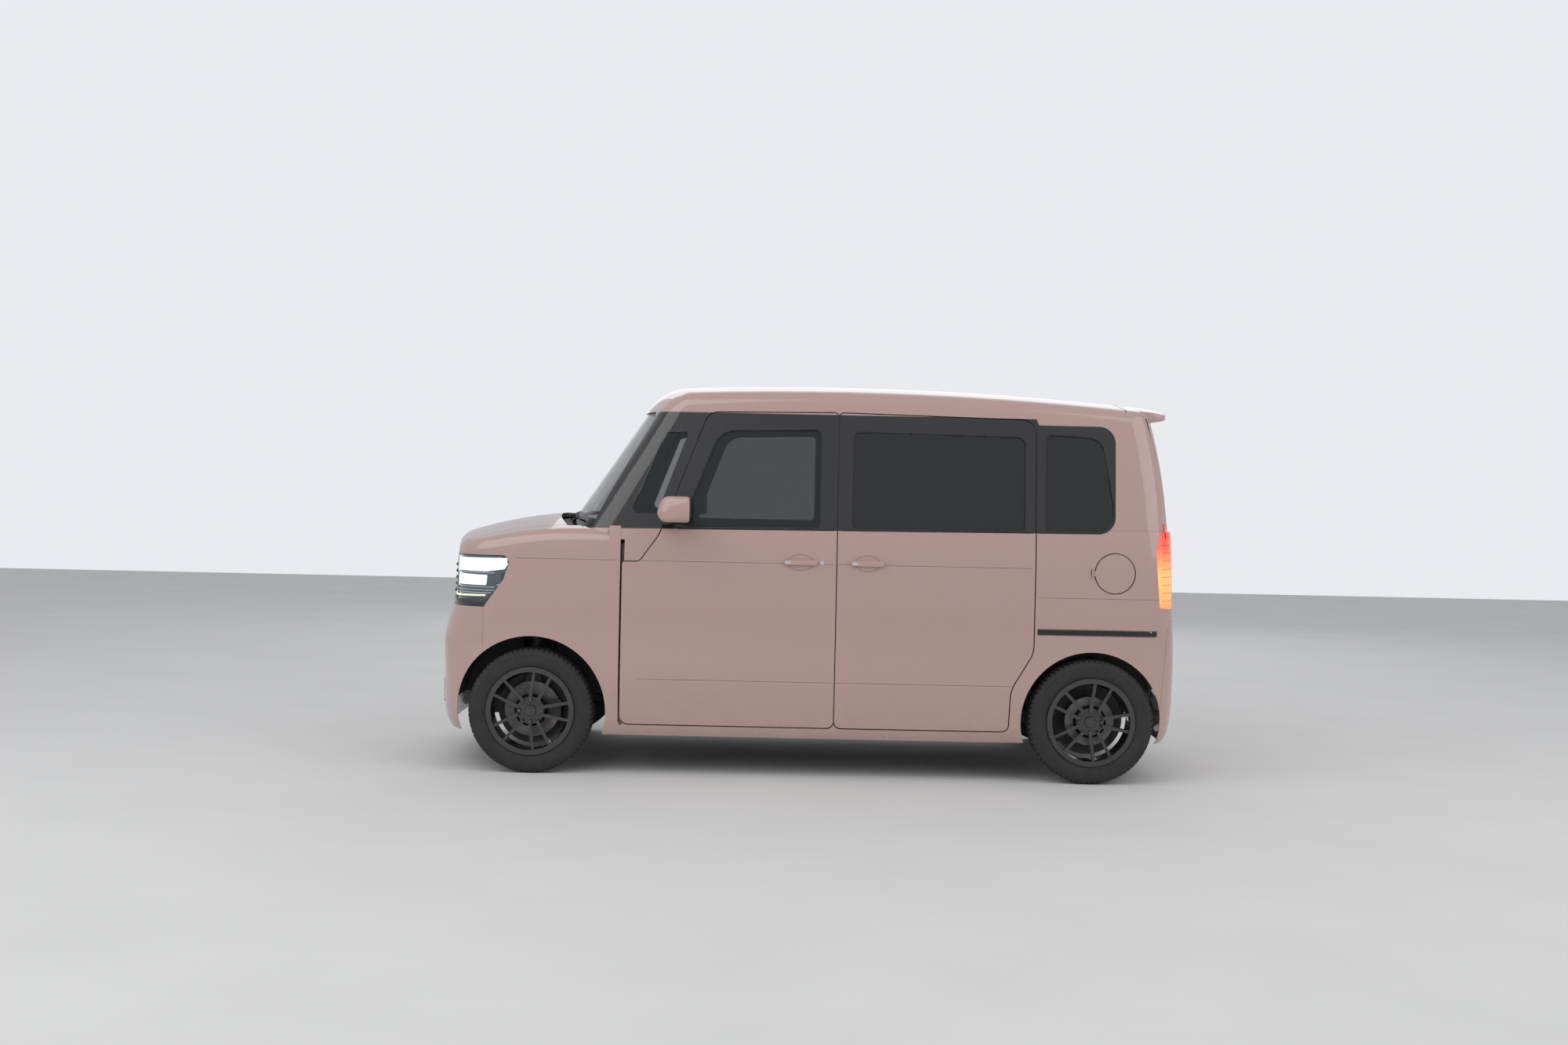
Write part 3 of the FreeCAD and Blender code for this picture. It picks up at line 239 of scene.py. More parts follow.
@dataclass(frozen=True)
class BodyPaint:
    """Dusky rose pearl under clear coat, with the black band and the inner lining where a panel has them."""

    name: str
    colour: Colour = (0.480, 0.318, 0.288)
    shade: Colour = (0.440, 0.286, 0.258)
    black: Colour = (0.008, 0.008, 0.009)
    band: GlasshouseBand | None = None
    lining: Lining | None = None
    cloth: Colour = (0.050, 0.049, 0.048)

    def build(self) -> bpy.types.Material:
        """Makes the material."""
        sheet = Sheet(self.name)
        pearl = sheet.blend(sheet.spread(sheet.noise(900.0, 2.0), 0.35, 0.65, 0.0, 1.0), self.colour,
                            self.shade)
        dust = sheet.spread(sheet.z, 0.20, 0.55, 1.0, 0.0)
        film = sheet.sum("MULTIPLY", dust, sheet.spread(sheet.noise(7.0, 5.0), 0.40, 0.75, 0.0, 0.28))
        colour = sheet.blend(film, pearl, (0.33, 0.25, 0.22))
        if self.band:
            colour = sheet.blend(self.band.share(sheet), colour, self.black)
        rough = sheet.spread(film, 0.0, 0.3, 0.22, 0.36)
        coat: object = 1.0
        if self.lining:
            inner = self.lining.share(sheet)
            colour = sheet.blend(inner, colour, self.cloth)
            rough = sheet.sum("ADD", rough, sheet.sum("MULTIPLY", inner, 0.5))
            coat = sheet.sum("SUBTRACT", 1.0, inner)
        sheet.set(Base_Color=colour, Roughness=rough, Coat_Weight=coat, Coat_Roughness=0.03)
        sheet.bump(sheet.noise(260.0, 1.0), 0.00002, 0.25)
        return sheet.material


@dataclass(frozen=True)
class Moulding:
    """A moulded, cast or pressed surface: colour, gloss and a fine grain."""

    name: str
    colour: Colour
    rough: float
    metal: float = 0.0
    grain: float = 900.0
    depth: float = 0.00006
    patch: float = 0.12
    coat: float = 0.0

    def build(self) -> bpy.types.Material:
        """Makes the material."""
        sheet = Sheet(self.name)
        worn = tuple(min(1.0, c * (1.0 + 2.2 * self.patch) + 0.012 * self.patch) for c in self.colour)
        mottled = sheet.spread(sheet.noise(14.0, 5.0), 0.35, 0.70, 0.0, 1.0)
        rough = sheet.spread(sheet.noise(40.0, 4.0), 0.3, 0.7, max(0.02, self.rough - 0.08 * self.patch * 4),
                             min(1.0, self.rough + 0.08))
        sheet.set(Base_Color=sheet.blend(mottled, self.colour, worn), Roughness=rough, Metallic=self.metal,
                  Coat_Weight=self.coat)
        sheet.bump(sheet.noise(self.grain, 2.0), self.depth, 0.5)
        return sheet.material


@dataclass(frozen=True)
class Glazing:
    """Window or lamp glass: tinted and see-through, darker behind a given place."""

    name: str
    colour: Colour
    alpha: float
    privacy: Colour | None = None
    privacy_alpha: float = 0.97
    privacy_from: float = 0.2

    def build(self) -> bpy.types.Material:
        """Makes the material."""
        sheet = Sheet(self.name)
        colour: object = self.colour
        alpha: object = self.alpha
        smear = sheet.spread(sheet.noise(9.0, 4.0), 0.4, 0.8, 0.015, 0.05)
        if self.privacy:
            rear = sheet.sum("GREATER_THAN", sheet.x, self.privacy_from)
            colour = sheet.blend(rear, self.colour, self.privacy)
            alpha = sheet.spread(rear, 0.0, 1.0, self.alpha, self.privacy_alpha)
        sheet.set(Base_Color=colour, Alpha=alpha, Roughness=smear, Coat_Weight=0.6, Coat_Roughness=0.01)
        return sheet.material


@dataclass(frozen=True)
class Lit:
    """A lamp part that shines."""

    name: str
    colour: Colour
    glow: Colour
    strength: float

    def build(self) -> bpy.types.Material:
        """Makes the material."""
        sheet = Sheet(self.name)
        ripple = sheet.spread(sheet.noise(220.0, 1.0), 0.3, 0.7, 0.82, 1.0)
        sheet.set(Base_Color=self.colour, Roughness=0.25, Emission_Strength=self.strength,
                  Emission_Color=sheet.blend(ripple, tuple(0.6 * c for c in self.glow), self.glow))
        return sheet.material


@dataclass(frozen=True)
class LampStack:
    """A tall lit lamp: its colour runs from one glow to another up its height, over fine lens lines."""

    name: str
    low: float
    high: float
    stops: tuple[tuple[float, Colour], ...]
    strength: float
    line: float = 0.006

    def build(self) -> bpy.types.Material:
        """Makes the material."""
        sheet = Sheet(self.name)
        glow = sheet.ramp(sheet.spread(sheet.z, self.low, self.high, 0.0, 1.0), self.stops)
        turn = 2 * math.pi / self.line
        grid = sheet.sum("MULTIPLY", sheet.sum("SINE", sheet.sum("MULTIPLY", sheet.z, turn)),
                         sheet.sum("SINE", sheet.sum("MULTIPLY", sheet.sum("ADD", sheet.x, sheet.y), turn)))
        lit = sheet.spread(grid, -1.0, 1.0, 0.80 * self.strength, self.strength)
        sheet.set(Base_Color=glow, Roughness=0.16, Coat_Weight=1.0, Emission_Color=glow,
                  Emission_Strength=lit)
        sheet.bump(grid, 0.0006, 0.4)
        return sheet.material


@dataclass(frozen=True)
class FloorCoat:
    """Carpet on what looks up inside the cabin, and chassis coating on the rest."""

    name: str
    carpet: Colour = (0.030, 0.029, 0.028)
    coating: Colour = (0.035, 0.034, 0.033)

    def build(self) -> bpy.types.Material:
        """Makes the material."""
        sheet = Sheet(self.name)
        up = sheet.sum("GREATER_THAN", sheet.facing()[2], 0.2)
        tuft = sheet.spread(sheet.noise(420.0, 4.0), 0.35, 0.70, 0.0, 1.0)
        pile = sheet.blend(tuft, self.carpet, tuple(2.0 * c for c in self.carpet))
        stain = sheet.blend(sheet.spread(sheet.noise(14.0, 5.0), 0.4, 0.7, 0.0, 0.5), self.coating,
                            (0.11, 0.09, 0.07))
        sheet.set(Base_Color=sheet.blend(up, stain, pile), Roughness=sheet.spread(up, 0.0, 1.0, 0.62, 0.95))
        sheet.bump(sheet.noise(420.0, 3.0), 0.0008, 0.5)
        return sheet.material


@dataclass(frozen=True)
class SeatCloth:
    """Dark woven cloth with a fine slub."""

    name: str
    colour: Colour
    thread: float = 0.0016

    def build(self) -> bpy.types.Material:
        """Makes the material."""
        sheet = Sheet(self.name)
        turn = 2 * math.pi / self.thread
        across = sheet.sum("SINE", sheet.sum("MULTIPLY", sheet.sum("ADD", sheet.x, sheet.z), turn))
        along = sheet.sum("SINE", sheet.sum("MULTIPLY", sheet.y, turn))
        weave = sheet.sum("MULTIPLY", across, along)
        fleck = sheet.spread(sheet.noise(300.0, 3.0), 0.35, 0.7, 0.0, 1.0)
        pale = tuple(min(1.0, 1.8 * c) for c in self.colour)
        sheet.set(Base_Color=sheet.blend(fleck, self.colour, pale), Roughness=0.9, Sheen_Weight=0.4,
                  Sheen_Roughness=0.5)
        sheet.bump(weave, 0.0004, 0.6)
        return sheet.material


class Finish(Enum):
    """Every finish on the car. The value is the recipe that makes it."""

    PAINT = BodyPaint("pearl_paint")
    BANDED_PAINT = BodyPaint("pearl_paint_with_band", band=GlasshouseBand(), lining=Lining.SIDE)
    ROOF_PAINT = BodyPaint("pearl_paint_and_headlining", lining=Lining.ROOF, cloth=(0.42, 0.40, 0.37))
    GATE_PAINT = BodyPaint("pearl_paint_and_gate_trim", lining=Lining.GATE)
    CLEAR_GLASS = Glazing("clear_glass", (0.02, 0.03, 0.03), 0.34)
    DOOR_GLASS = Glazing("door_glass", (0.015, 0.022, 0.022), 0.52)
    SIDE_GLASS = Glazing("side_glass", (0.02, 0.03, 0.03), 0.36, privacy=(0.006, 0.007, 0.008))
    LENS = Glazing("lamp_lens", (0.45, 0.50, 0.55), 0.16)
    RED_LENS = Glazing("red_lens", (0.55, 0.02, 0.015), 0.62)
    TYRE = Moulding("tyre_rubber", (0.022, 0.021, 0.021), 0.78, grain=700.0, depth=0.0002)
    GLOSS_BLACK = Moulding("gloss_black", (0.010, 0.010, 0.011), 0.13, coat=1.0, depth=0.00001)
    IRON = Moulding("brake_iron", (0.115, 0.108, 0.104), 0.48, metal=0.8, grain=500.0, patch=0.4)
    CHASSIS = Moulding("chassis_black", (0.035, 0.034, 0.033), 0.62, grain=180.0, depth=0.0004, patch=0.5)
    PLASTIC = Moulding("grained_plastic", (0.028, 0.028, 0.029), 0.58, grain=1400.0, depth=0.00015)
    RUBBER = Moulding("seal_rubber", (0.014, 0.014, 0.014), 0.70)
    CHROME = Moulding("bright_trim", (0.82, 0.83, 0.85), 0.10, metal=1.0, depth=0.00001, patch=0.02)
    BARE_PLATE = Moulding("blank_plate", (0.78, 0.78, 0.74), 0.45, depth=0.00002, patch=0.03)
    TRIM = Moulding("cabin_trim", (0.055, 0.054, 0.053), 0.66, grain=1200.0, depth=0.0002)
    SEAT = SeatCloth("seat_cloth", (0.035, 0.034, 0.036))
    BLACK_CLOTH = SeatCloth("seat_side_cloth", (0.018, 0.018, 0.019), thread=0.0024)
    LIGHT_BAR = Lit("light_bar", (0.80, 0.86, 0.95), (0.74, 0.87, 1.0), 0.75)
    SIDE_LIGHT = Lit("side_light", (0.8, 0.85, 0.5), (0.85, 0.95, 0.55), 0.8)
    TAIL_DIM = Lit("high_stop_lamp_red", (0.45, 0.02, 0.015), (1.0, 0.06, 0.03), 0.5)
    DIAL = Lit("instrument_glow", (0.010, 0.012, 0.015), (0.20, 0.35, 0.55), 0.03)
    TAIL_GLOW = LampStack("tail_glow", 0.784, 1.176, (
        (0.0, (0.90, 0.24, 0.06)), (0.12, (0.95, 0.40, 0.11)), (0.40, (0.95, 0.47, 0.14)),
        (0.58, (0.92, 0.27, 0.09)),
        (0.72, (0.86, 0.09, 0.035)), (1.0, (0.72, 0.035, 0.018))), 0.62)
    LAMP_BUCKET = Moulding("lamp_bucket", (0.020, 0.035, 0.038), 0.22, coat=0.6, grain=60.0, depth=0.0002)
    # A darkened paint tone, drawn as painted shade along the crease lines, the rail slot's lips and the
    # handle dishes, and as the dark quarter joint line.
    JOINT_AND_SHADE_LINE = Moulding("joint_and_painted_shade_line", (0.150, 0.098, 0.086), 0.70)
    MIRROR = Moulding("mirror_silver", (0.86, 0.88, 0.90), 0.03, metal=1.0, depth=0.000005, patch=0.01)
    BATTERY = Moulding("battery_case", (0.05, 0.06, 0.07), 0.50, depth=0.0001)
    FLOOR = FloorCoat("carpet_and_chassis")

    def material(self) -> bpy.types.Material:
        """The finish as a material, made the first time it is asked for."""
        found = bpy.data.materials.get(self.value.name)
        return found or self.value.build()


def dress(node: bpy.types.Object, finish: Finish) -> None:
    """Gives a whole object one finish."""
    node.data.materials.clear()
    node.data.materials.append(finish.material())


NODE_FINISH: dict[Finish, tuple[str, ...]] = {
    Finish.BANDED_PAINT: (
        "body_side_left", "body_side_right", "front_door_left", "front_door_right",
        "sliding_door_left", "sliding_door_right",
    ),
    Finish.PAINT: (
        "bonnet", "front_bumper", "front_wing_left", "front_wing_right", "fuel_lid", "mirror_left",
        "mirror_right", "rear_bumper",
    ),
    Finish.ROOF_PAINT: ("roof_panel",),
    Finish.GATE_PAINT: ("tailgate",),
    Finish.FLOOR: ("floor_pan",),
    Finish.CLEAR_GLASS: ("windscreen",),
    Finish.DOOR_GLASS: ("door_glass_left", "door_glass_right"),
    Finish.SIDE_GLASS: ("quarter_glass", "sliding_door_glass", "tailgate_glass"),
    Finish.TYRE: ("tyre_front_left", "tyre_front_right", "tyre_rear_left", "tyre_rear_right"),
    Finish.GLOSS_BLACK: (
        "rim_front_left", "rim_front_right", "rim_rear_left", "rim_rear_right", "grille",
    ),
    Finish.IRON: ("brake_disc_left", "brake_disc_right", "brake_drum_left", "brake_drum_right"),
    Finish.CHASSIS: (
        "engine_block", "exhaust", "front_rails", "front_subframe", "fuel_tank", "knuckle_left",
        "knuckle_right", "rear_axle",
    ),
    Finish.PLASTIC: ("cowl", "wheel_liners"),
    Finish.TRIM: ("dashboard", "steering_column", "steering_wheel"),
    Finish.SEAT: ("front_seats", "rear_seat"),
    Finish.LENS: ("headlamps",),
    Finish.TAIL_GLOW: ("tail_lamps",),
}


# Mesh work


Corner = tuple[float, float, float]
Flat = tuple[float, float]


def rounded(corners: Sequence[Corner], steps: int = 5) -> list[Flat]:
    """A closed outline through corners with their own radii.

    Args:
        corners: (across, up, corner radius) of each corner.
        steps: segments in a rounded corner.

    Returns:
        The outline's points, in order.
    """
    points: list[Flat] = []
    count = len(corners)
    for i, (u, v, radius) in enumerate(corners):
        here = Vector((u, v))
        if radius <= 0:
            points.append((u, v))
            continue
        back = Vector(corners[i - 1][:2]) - here
        ahead = Vector(corners[(i + 1) % count][:2]) - here
        half = back.angle(ahead) / 2
        reach = min(radius / math.tan(half), 0.48 * back.length, 0.48 * ahead.length)
        start, end = here + back.normalized() * reach, here + ahead.normalized() * reach
        for k in range(steps + 1):
            t = k / steps
            spot = start * (1 - t) ** 2 + here * (2 * t * (1 - t)) + end * t * t
            points.append((spot.x, spot.y))
    return points


def oblong(left: float, right: float, low: float, high: float, radius: float = 0.0) -> list[Flat]:
    """An upright oblong outline with rounded corners."""
    return rounded(((left, low, radius), (left, high, radius), (right, high, radius), (right, low, radius)))


def circle(u: float, v: float, radius: float, steps: int = 40) -> list[Flat]:
    """A round outline."""
    turn = 2 * math.pi / steps
    return [(u + radius * math.cos(k * turn), v + radius * math.sin(k * turn)) for k in range(steps)]


def resampled(path: Sequence[Flat], step: float, closed: bool) -> list[Flat]:
    """Points about a step apart along a path."""
    corners = [Vector(p) for p in path] + ([Vector(path[0])] if closed else [])
    points: list[Flat] = []
    for a, b in zip(corners, corners[1:]):
        pieces = max(1, round((b - a).length / step))
        points += [tuple(a.lerp(b, k / pieces)) for k in range(pieces)]
    if not closed:
        points.append(tuple(corners[-1]))
    return points


def new_piece(name: str, points: Iterable[Vector], faces: Iterable[Sequence[int]], smooth: bool = True,
              ) -> bpy.types.Object:
    """A closed mesh object at the origin, its doubles merged and its faces outward."""
    mesh = bpy.data.meshes.new(name)
    mesh.from_pydata([tuple(p) for p in points], [], [tuple(f) for f in faces])
    work = bmesh.new()
    work.from_mesh(mesh)
    bmesh.ops.remove_doubles(work, verts=work.verts[:], dist=1e-6)
    bmesh.ops.recalc_face_normals(work, faces=work.faces[:])
    work.to_mesh(mesh)
    work.free()
    piece = bpy.data.objects.new(name, mesh)
    bpy.context.scene.collection.objects.link(piece)
    if smooth:
        soften(piece)
    return piece


def soften(piece: bpy.types.Object, angle: float = 38.0) -> None:
    """Shades a piece smooth, but keeps its sharper edges crisp."""
    mesh = piece.data
    mesh.shade_smooth()
    work = bmesh.new()
    work.from_mesh(mesh)
    for edge in work.edges:
        edge.smooth = len(edge.link_faces) == 2 and edge.calc_face_angle(0.0) < math.radians(angle)
    work.to_mesh(mesh)
    work.free()


def lofted(name: str, rings: Sequence[Sequence[Vector]], closed: bool = False) -> bpy.types.Object:
    """A skin through rings of equal size. The ends are capped, or joined to each other."""
    size = len(rings[0])
    points = [p for ring in rings for p in ring]
    faces: list[Sequence[int]] = []
    for i in range(len(rings) - (0 if closed else 1)):
        a, b = i * size, ((i + 1) % len(rings)) * size
        faces += [(a + k, a + (k + 1) % size, b + (k + 1) % size, b + k) for k in range(size)]
    if not closed:
        faces += [tuple(range(size)), tuple(range(len(points) - size, len(points)))]
    return new_piece(name, points, faces)


def lathe(name: str, profile: Sequence[Flat], centre: Point, steps: int = 64) -> bpy.types.Object:
    """A closed profile turned about an axis along Y.

    Args:
        name: the piece's name.
        profile: (radius, place along Y) of each point.
        centre: a point of the axis.
        steps: segments round the axis.

    Returns:
        The turned piece.
    """
    rings = []
    for k in range(steps):
        turn = 2 * math.pi * k / steps
        way = Vector((math.cos(turn), 0, math.sin(turn)))
        rings.append([Vector(centre) + way * r + Vector((0, y, 0)) for r, y in profile])
    return lofted(name, rings, closed=True)


def tube(name: str, path: Sequence[Point], radius: float, sides: int = 12) -> bpy.types.Object:
    """A round bar along a path."""
    spots = [Vector(p) for p in path]
    rings = []
    across = None
    for i, spot in enumerate(spots):
        along = (spots[min(i + 1, len(spots) - 1)] - spots[max(i - 1, 0)]).normalized()
        if across is None:
            across = along.orthogonal()
        across = (across - along * across.dot(along)).normalized()
        up = along.cross(across)
        rings.append([spot + (across * math.cos(a) + up * math.sin(a)) * radius
                      for a in (2 * math.pi * k / sides for k in range(sides))])
    return lofted(name, rings)


def smooth_path(path: Sequence[Point], steps: int = 6) -> list[Point]:
    """A path through the given points, rounded like a bent rod."""
    spots = [Vector(p) for p in path]
    out: list[Point] = [tuple(spots[0])]
    for a, b, c in zip(spots, spots[1:], spots[2:]):
        start, end = a.lerp(b, 0.65), b.lerp(c, 0.35)
        for k in range(steps + 1):
            t = k / steps
            out.append(tuple(start * (1 - t) ** 2 + b * (2 * t * (1 - t)) + end * t * t))
    return out + [tuple(spots[-1])]


class View(Enum):
    """The side an outline is drawn from: its across and up ways, the way it looks, and where it starts."""

    LEFT = ((1, 0, 0), (0, 0, 1), (0, 1, 0), 3.0)
    RIGHT = ((1, 0, 0), (0, 0, 1), (0, -1, 0), 3.0)
    FRONT = ((0, 1, 0), (0, 0, 1), (1, 0, 0), 3.0)
    REAR = ((0, 1, 0), (0, 0, 1), (-1, 0, 0), 3.0)
    TOP = ((1, 0, 0), (0, 1, 0), (0, 0, -1), 3.0)
    CORNER = ((0.7071, -0.7071, 0), (0, 0, 1), (0.7071, 0.7071, 0), 3.0)
    CABIN_LEFT = ((1, 0, 0), (0, 0, 1), (0, -1, 0), 0.0)

    def place(self, u: float, v: float, depth: float = 0.0) -> Vector:
        """The point of the car that lies at (u, v) and a depth along the look."""
        across, up, look, _ = self.value
        return Vector(across) * u + Vector(up) * v + Vector(look) * depth


def eased(piece: bpy.types.Object, bevel: float, segments: int = 2, angle: float = 50.0) -> bpy.types.Object:
    """The same piece with its sharp edges broken."""
    work = bmesh.new()
    work.from_mesh(piece.data)
    sharp = [e for e in work.edges if e.calc_face_angle(0.0) > math.radians(angle)]
    bmesh.ops.bevel(work, geom=sharp, offset=bevel, segments=segments, profile=0.6, affect="EDGES")
    work.to_mesh(piece.data)
    work.free()
    soften(piece)
    return piece


def plate(name: str, outline: Sequence[Flat], view: View, low: float, high: float, bevel: float = 0.002,
          ) -> bpy.types.Object:
    """A flat plate between two depths of a view, with its edges broken."""
    rings = [[view.place(u, v, depth) for u, v in outline] for depth in (low, high)]
    return eased(lofted(name, rings), bevel)


def gridded(outline: Sequence[Flat], cell: float) -> bmesh.types.BMesh:
    """A flat outline filled with cells of about one size."""
    work = bmesh.new()
    work.faces.new([work.verts.new((u, v, 0)) for u, v in outline])
    for axis in (0, 1):
        low, high = min(p[axis] for p in outline), max(p[axis] for p in outline)
        cuts = max(1, round((high - low) / cell))
        for k in range(1, cuts):
            spot, way = [0.0] * 3, [0.0] * 3
            spot[axis], way[axis] = low + (high - low) * k / cuts, 1.0
            bmesh.ops.bisect_plane(work, geom=work.verts[:] + work.edges[:] + work.faces[:],
                                   plane_co=spot, plane_no=way, dist=1e-6)
    return work


def slab(name: str, grid: bmesh.types.BMesh, place: Callable[[Flat], tuple[Vector, Vector] | None],
         ) -> bpy.types.Object:
    """A closed form between two sheets that both have the faces of a flat grid.

    Args:
        name: the piece's name.
        grid: the flat grid; it is used up.
        place: gives the outer and the inner point over a point of the grid, or None off the form.

    Returns:
        The closed form.
    """
    found = {vert: place((vert.co.x, vert.co.y)) for vert in grid.verts}
    bmesh.ops.delete(grid, geom=[vert for vert, pair in found.items() if pair is None], context="VERTS")
    kept = list(grid.verts)
    index = {vert: k for k, vert in enumerate(kept)}
    points = [found[vert][side] for side in (0, 1) for vert in kept]
    size = len(kept)
    faces: list[Sequence[int]] = []
    for face in grid.faces:
        loop = [index[vert] for vert in face.verts]
        faces += [loop, [k + size for k in reversed(loop)]]
    for edge in grid.edges:
        if len(edge.link_faces) == 1:
            a, b = (index[vert] for vert in edge.verts)
            faces.append((a, b, b + size, a + size))
    grid.free()
    return new_piece(name, points, faces)


class Skin:
    """The outer face of some nodes, for pieces that follow it."""

    def __init__(self, *nodes: bpy.types.Object) -> None:
        """Gathers the nodes' faces.

        Args:
            nodes: objects whose faces make up the skin.
        """
        work = bmesh.new()
        for node in nodes:
            work.from_mesh(node.data)
        self.tree = BVHTree.FromBMesh(work)
        work.free()

    def meet(self, view: View, u: float, v: float) -> tuple[Vector, Vector] | None:
        """The first point under (u, v) in a view, and its outward normal."""
        look = Vector(view.value[2])
        start = view.place(u, v, -view.value[3])
        place, normal, _, _ = self.tree.ray_cast(start, look)
        if place is None:
            return None
        return place, normal if normal.dot(look) < 0 else -normal

    def patch(self, name: str, outline: Sequence[Flat], view: View, lift: float, thick: float,
              cell: float = 0.014) -> bpy.types.Object:
        """A plate cut to an outline that follows the skin.

        Args:
            name: the piece's name.
            outline: its outline in the view.
            view: the side it is cut from.
            lift: how far its outer face stands off the skin; below nought it is inside.
            thick: its thickness, inward.
            cell: the size of its faces.

        Returns:
            The closed plate.
        """
        def place(spot: Flat) -> tuple[Vector, Vector] | None:
            """The patch's outer and inner point over a point of the outline's plane."""
            hit = self.meet(view, *spot)
            return hit and (hit[0] + hit[1] * lift, hit[0] + hit[1] * (lift - thick))

        return slab(name, gridded(outline, cell), place)

    def strip(self, name: str, path: Sequence[Flat], view: View, width: float, height: float,
              closed: bool = False, step: float = 0.014) -> bpy.types.Object:
        """A half-round strip laid along a path on the skin."""
        hits = [self.meet(view, u, v) for u, v in resampled(path, step, closed)]
        hits = [hit for hit in hits if hit]
        rings = []
        for i, (place, normal) in enumerate(hits):
            last, after = (i - 1, (i + 1) % len(hits)) if closed else (max(i - 1, 0),
                                                                       min(i + 1, len(hits) - 1))
            along = (hits[after][0] - hits[last][0]).normalized()
            side = along.cross(normal).normalized()
            rings.append([place + side * (width * s) + normal * (height * h)
                          for s, h in ((-0.5, -0.4), (-0.42, 0.6), (0.0, 1.0), (0.42, 0.6), (0.5, -0.4))])
        return lofted(name, rings, closed)


def mirrored(piece: bpy.types.Object, name: str) -> bpy.types.Object:
    """The same piece on the other side of the car."""
    mesh = piece.data.copy()
    mesh.transform(Matrix.Scale(-1, 4, (0, 1, 0)))
    mesh.flip_normals()
    mesh.name = name
    twin = bpy.data.objects.new(name, mesh)
    bpy.context.scene.collection.objects.link(twin)
    return twin


def joined(name: str, pieces: Sequence[bpy.types.Object]) -> bpy.types.Object:
    """Several pieces as one mesh."""
    work = bmesh.new()
    for piece in pieces:
        work.from_mesh(piece.data)
        bpy.data.objects.remove(piece)
    mesh = bpy.data.meshes.new(name)
    work.to_mesh(mesh)
    work.free()
    whole = bpy.data.objects.new(name, mesh)
    bpy.context.scene.collection.objects.link(whole)
    return whole


def baked(piece: bpy.types.Object) -> None:
    """Makes what a piece's modifiers give its own plain mesh."""
    bpy.context.view_layer.update()
    seen = piece.evaluated_get(bpy.context.evaluated_depsgraph_get())
    mesh = bpy.data.meshes.new_from_object(seen)
    piece.modifiers.clear()
    piece.data = mesh


def repeated(piece: bpy.types.Object, count: int, finish: Finish, turn: float = 0.0,
             step: Point = (0.0, 0.0, 0.0)) -> bpy.types.Object:
    """Copies of a piece in a row or a ring, by one Geometry Nodes group.

    Args:
        piece: what is repeated; it becomes the whole row.
        count: how many copies.
        finish: the finish that the group sets.
        turn: the angle about Z from one copy to the next, in radians.
        step: the way from one copy to the next.

    Returns:
        The piece, now a plain mesh with every copy.
    """
    group = bpy.data.node_groups.get("copies_in_a_row") or copies_group()
    row = piece.modifiers.new("copies", "NODES")
    row.node_group = group
    wanted = {"Count": count, "Turn": turn, "Step": step, "Finish": finish.material()}
    for socket in group.interface.items_tree:
        if socket.item_type == "SOCKET" and socket.in_out == "INPUT" and socket.name in wanted:
            row[socket.identifier] = wanted[socket.name]
    baked(piece)
    return piece


def copies_group() -> bpy.types.NodeTree:
    """The Geometry Nodes group behind repeated()."""
    group = bpy.data.node_groups.new("copies_in_a_row", "GeometryNodeTree")
    for name, kind in (("Geometry", "NodeSocketGeometry"), ("Count", "NodeSocketInt"),
                       ("Turn", "NodeSocketFloat"),
                       ("Step", "NodeSocketVector"), ("Finish", "NodeSocketMaterial")):
        group.interface.new_socket(name, in_out="INPUT", socket_type=kind)
    group.interface.new_socket("Geometry", in_out="OUTPUT", socket_type="NodeSocketGeometry")
    add, link = group.nodes.new, group.links.new
    given, out = add("NodeGroupInput"), add("NodeGroupOutput")
    line, index, angle, euler = (add(kind) for kind in (
        "GeometryNodeMeshLine", "GeometryNodeInputIndex", "ShaderNodeMath", "ShaderNodeCombineXYZ"))
    angle.operation = "MULTIPLY"
    place, real, colour = (add(kind) for kind in (
        "GeometryNodeInstanceOnPoints", "GeometryNodeRealizeInstances", "GeometryNodeSetMaterial"))
    link(given.outputs["Count"], line.inputs["Count"])
    link(given.outputs["Step"], line.inputs["Offset"])
    link(index.outputs[0], angle.inputs[0])
    link(given.outputs["Turn"], angle.inputs[1])
    link(angle.outputs[0], euler.inputs["Z"])
    link(line.outputs[0], place.inputs["Points"])
    link(given.outputs["Geometry"], place.inputs["Instance"])
    link(euler.outputs[0], place.inputs["Rotation"])
    link(place.outputs[0], real.inputs[0])
    link(real.outputs[0], colour.inputs["Geometry"])
    link(given.outputs["Finish"], colour.inputs["Material"])
    link(colour.outputs[0], out.inputs[0])
    return group


BODY = ("body", "body")
DOORS = ("front_door_left_assembly", "front_door_right_assembly")
KNUCKLES = ("knuckle_left_assembly", "knuckle_right_assembly")
GATE = "tailgate_assembly"


def fit(piece: bpy.types.Object, finish: Finish, body: str = "body") -> bpy.types.Object:
    """Finishes a piece, fixes it to a body and logs it."""
    dress(piece, finish)
    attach(piece, body)
    LOG.info("%s on %s: %d faces", piece.name, body, len(piece.data.polygons))
    return piece


def fit_pair(piece: bpy.types.Object, finish: Finish, bodies: tuple[str, str] = BODY,
             ) -> list[bpy.types.Object]:
    """Fits a left piece and its right twin. The piece's name holds "left"."""
    twin = mirrored(piece, piece.name.replace("left", "right"))
    return [fit(piece, finish, bodies[0]), fit(twin, finish, bodies[1])]


# Running gear


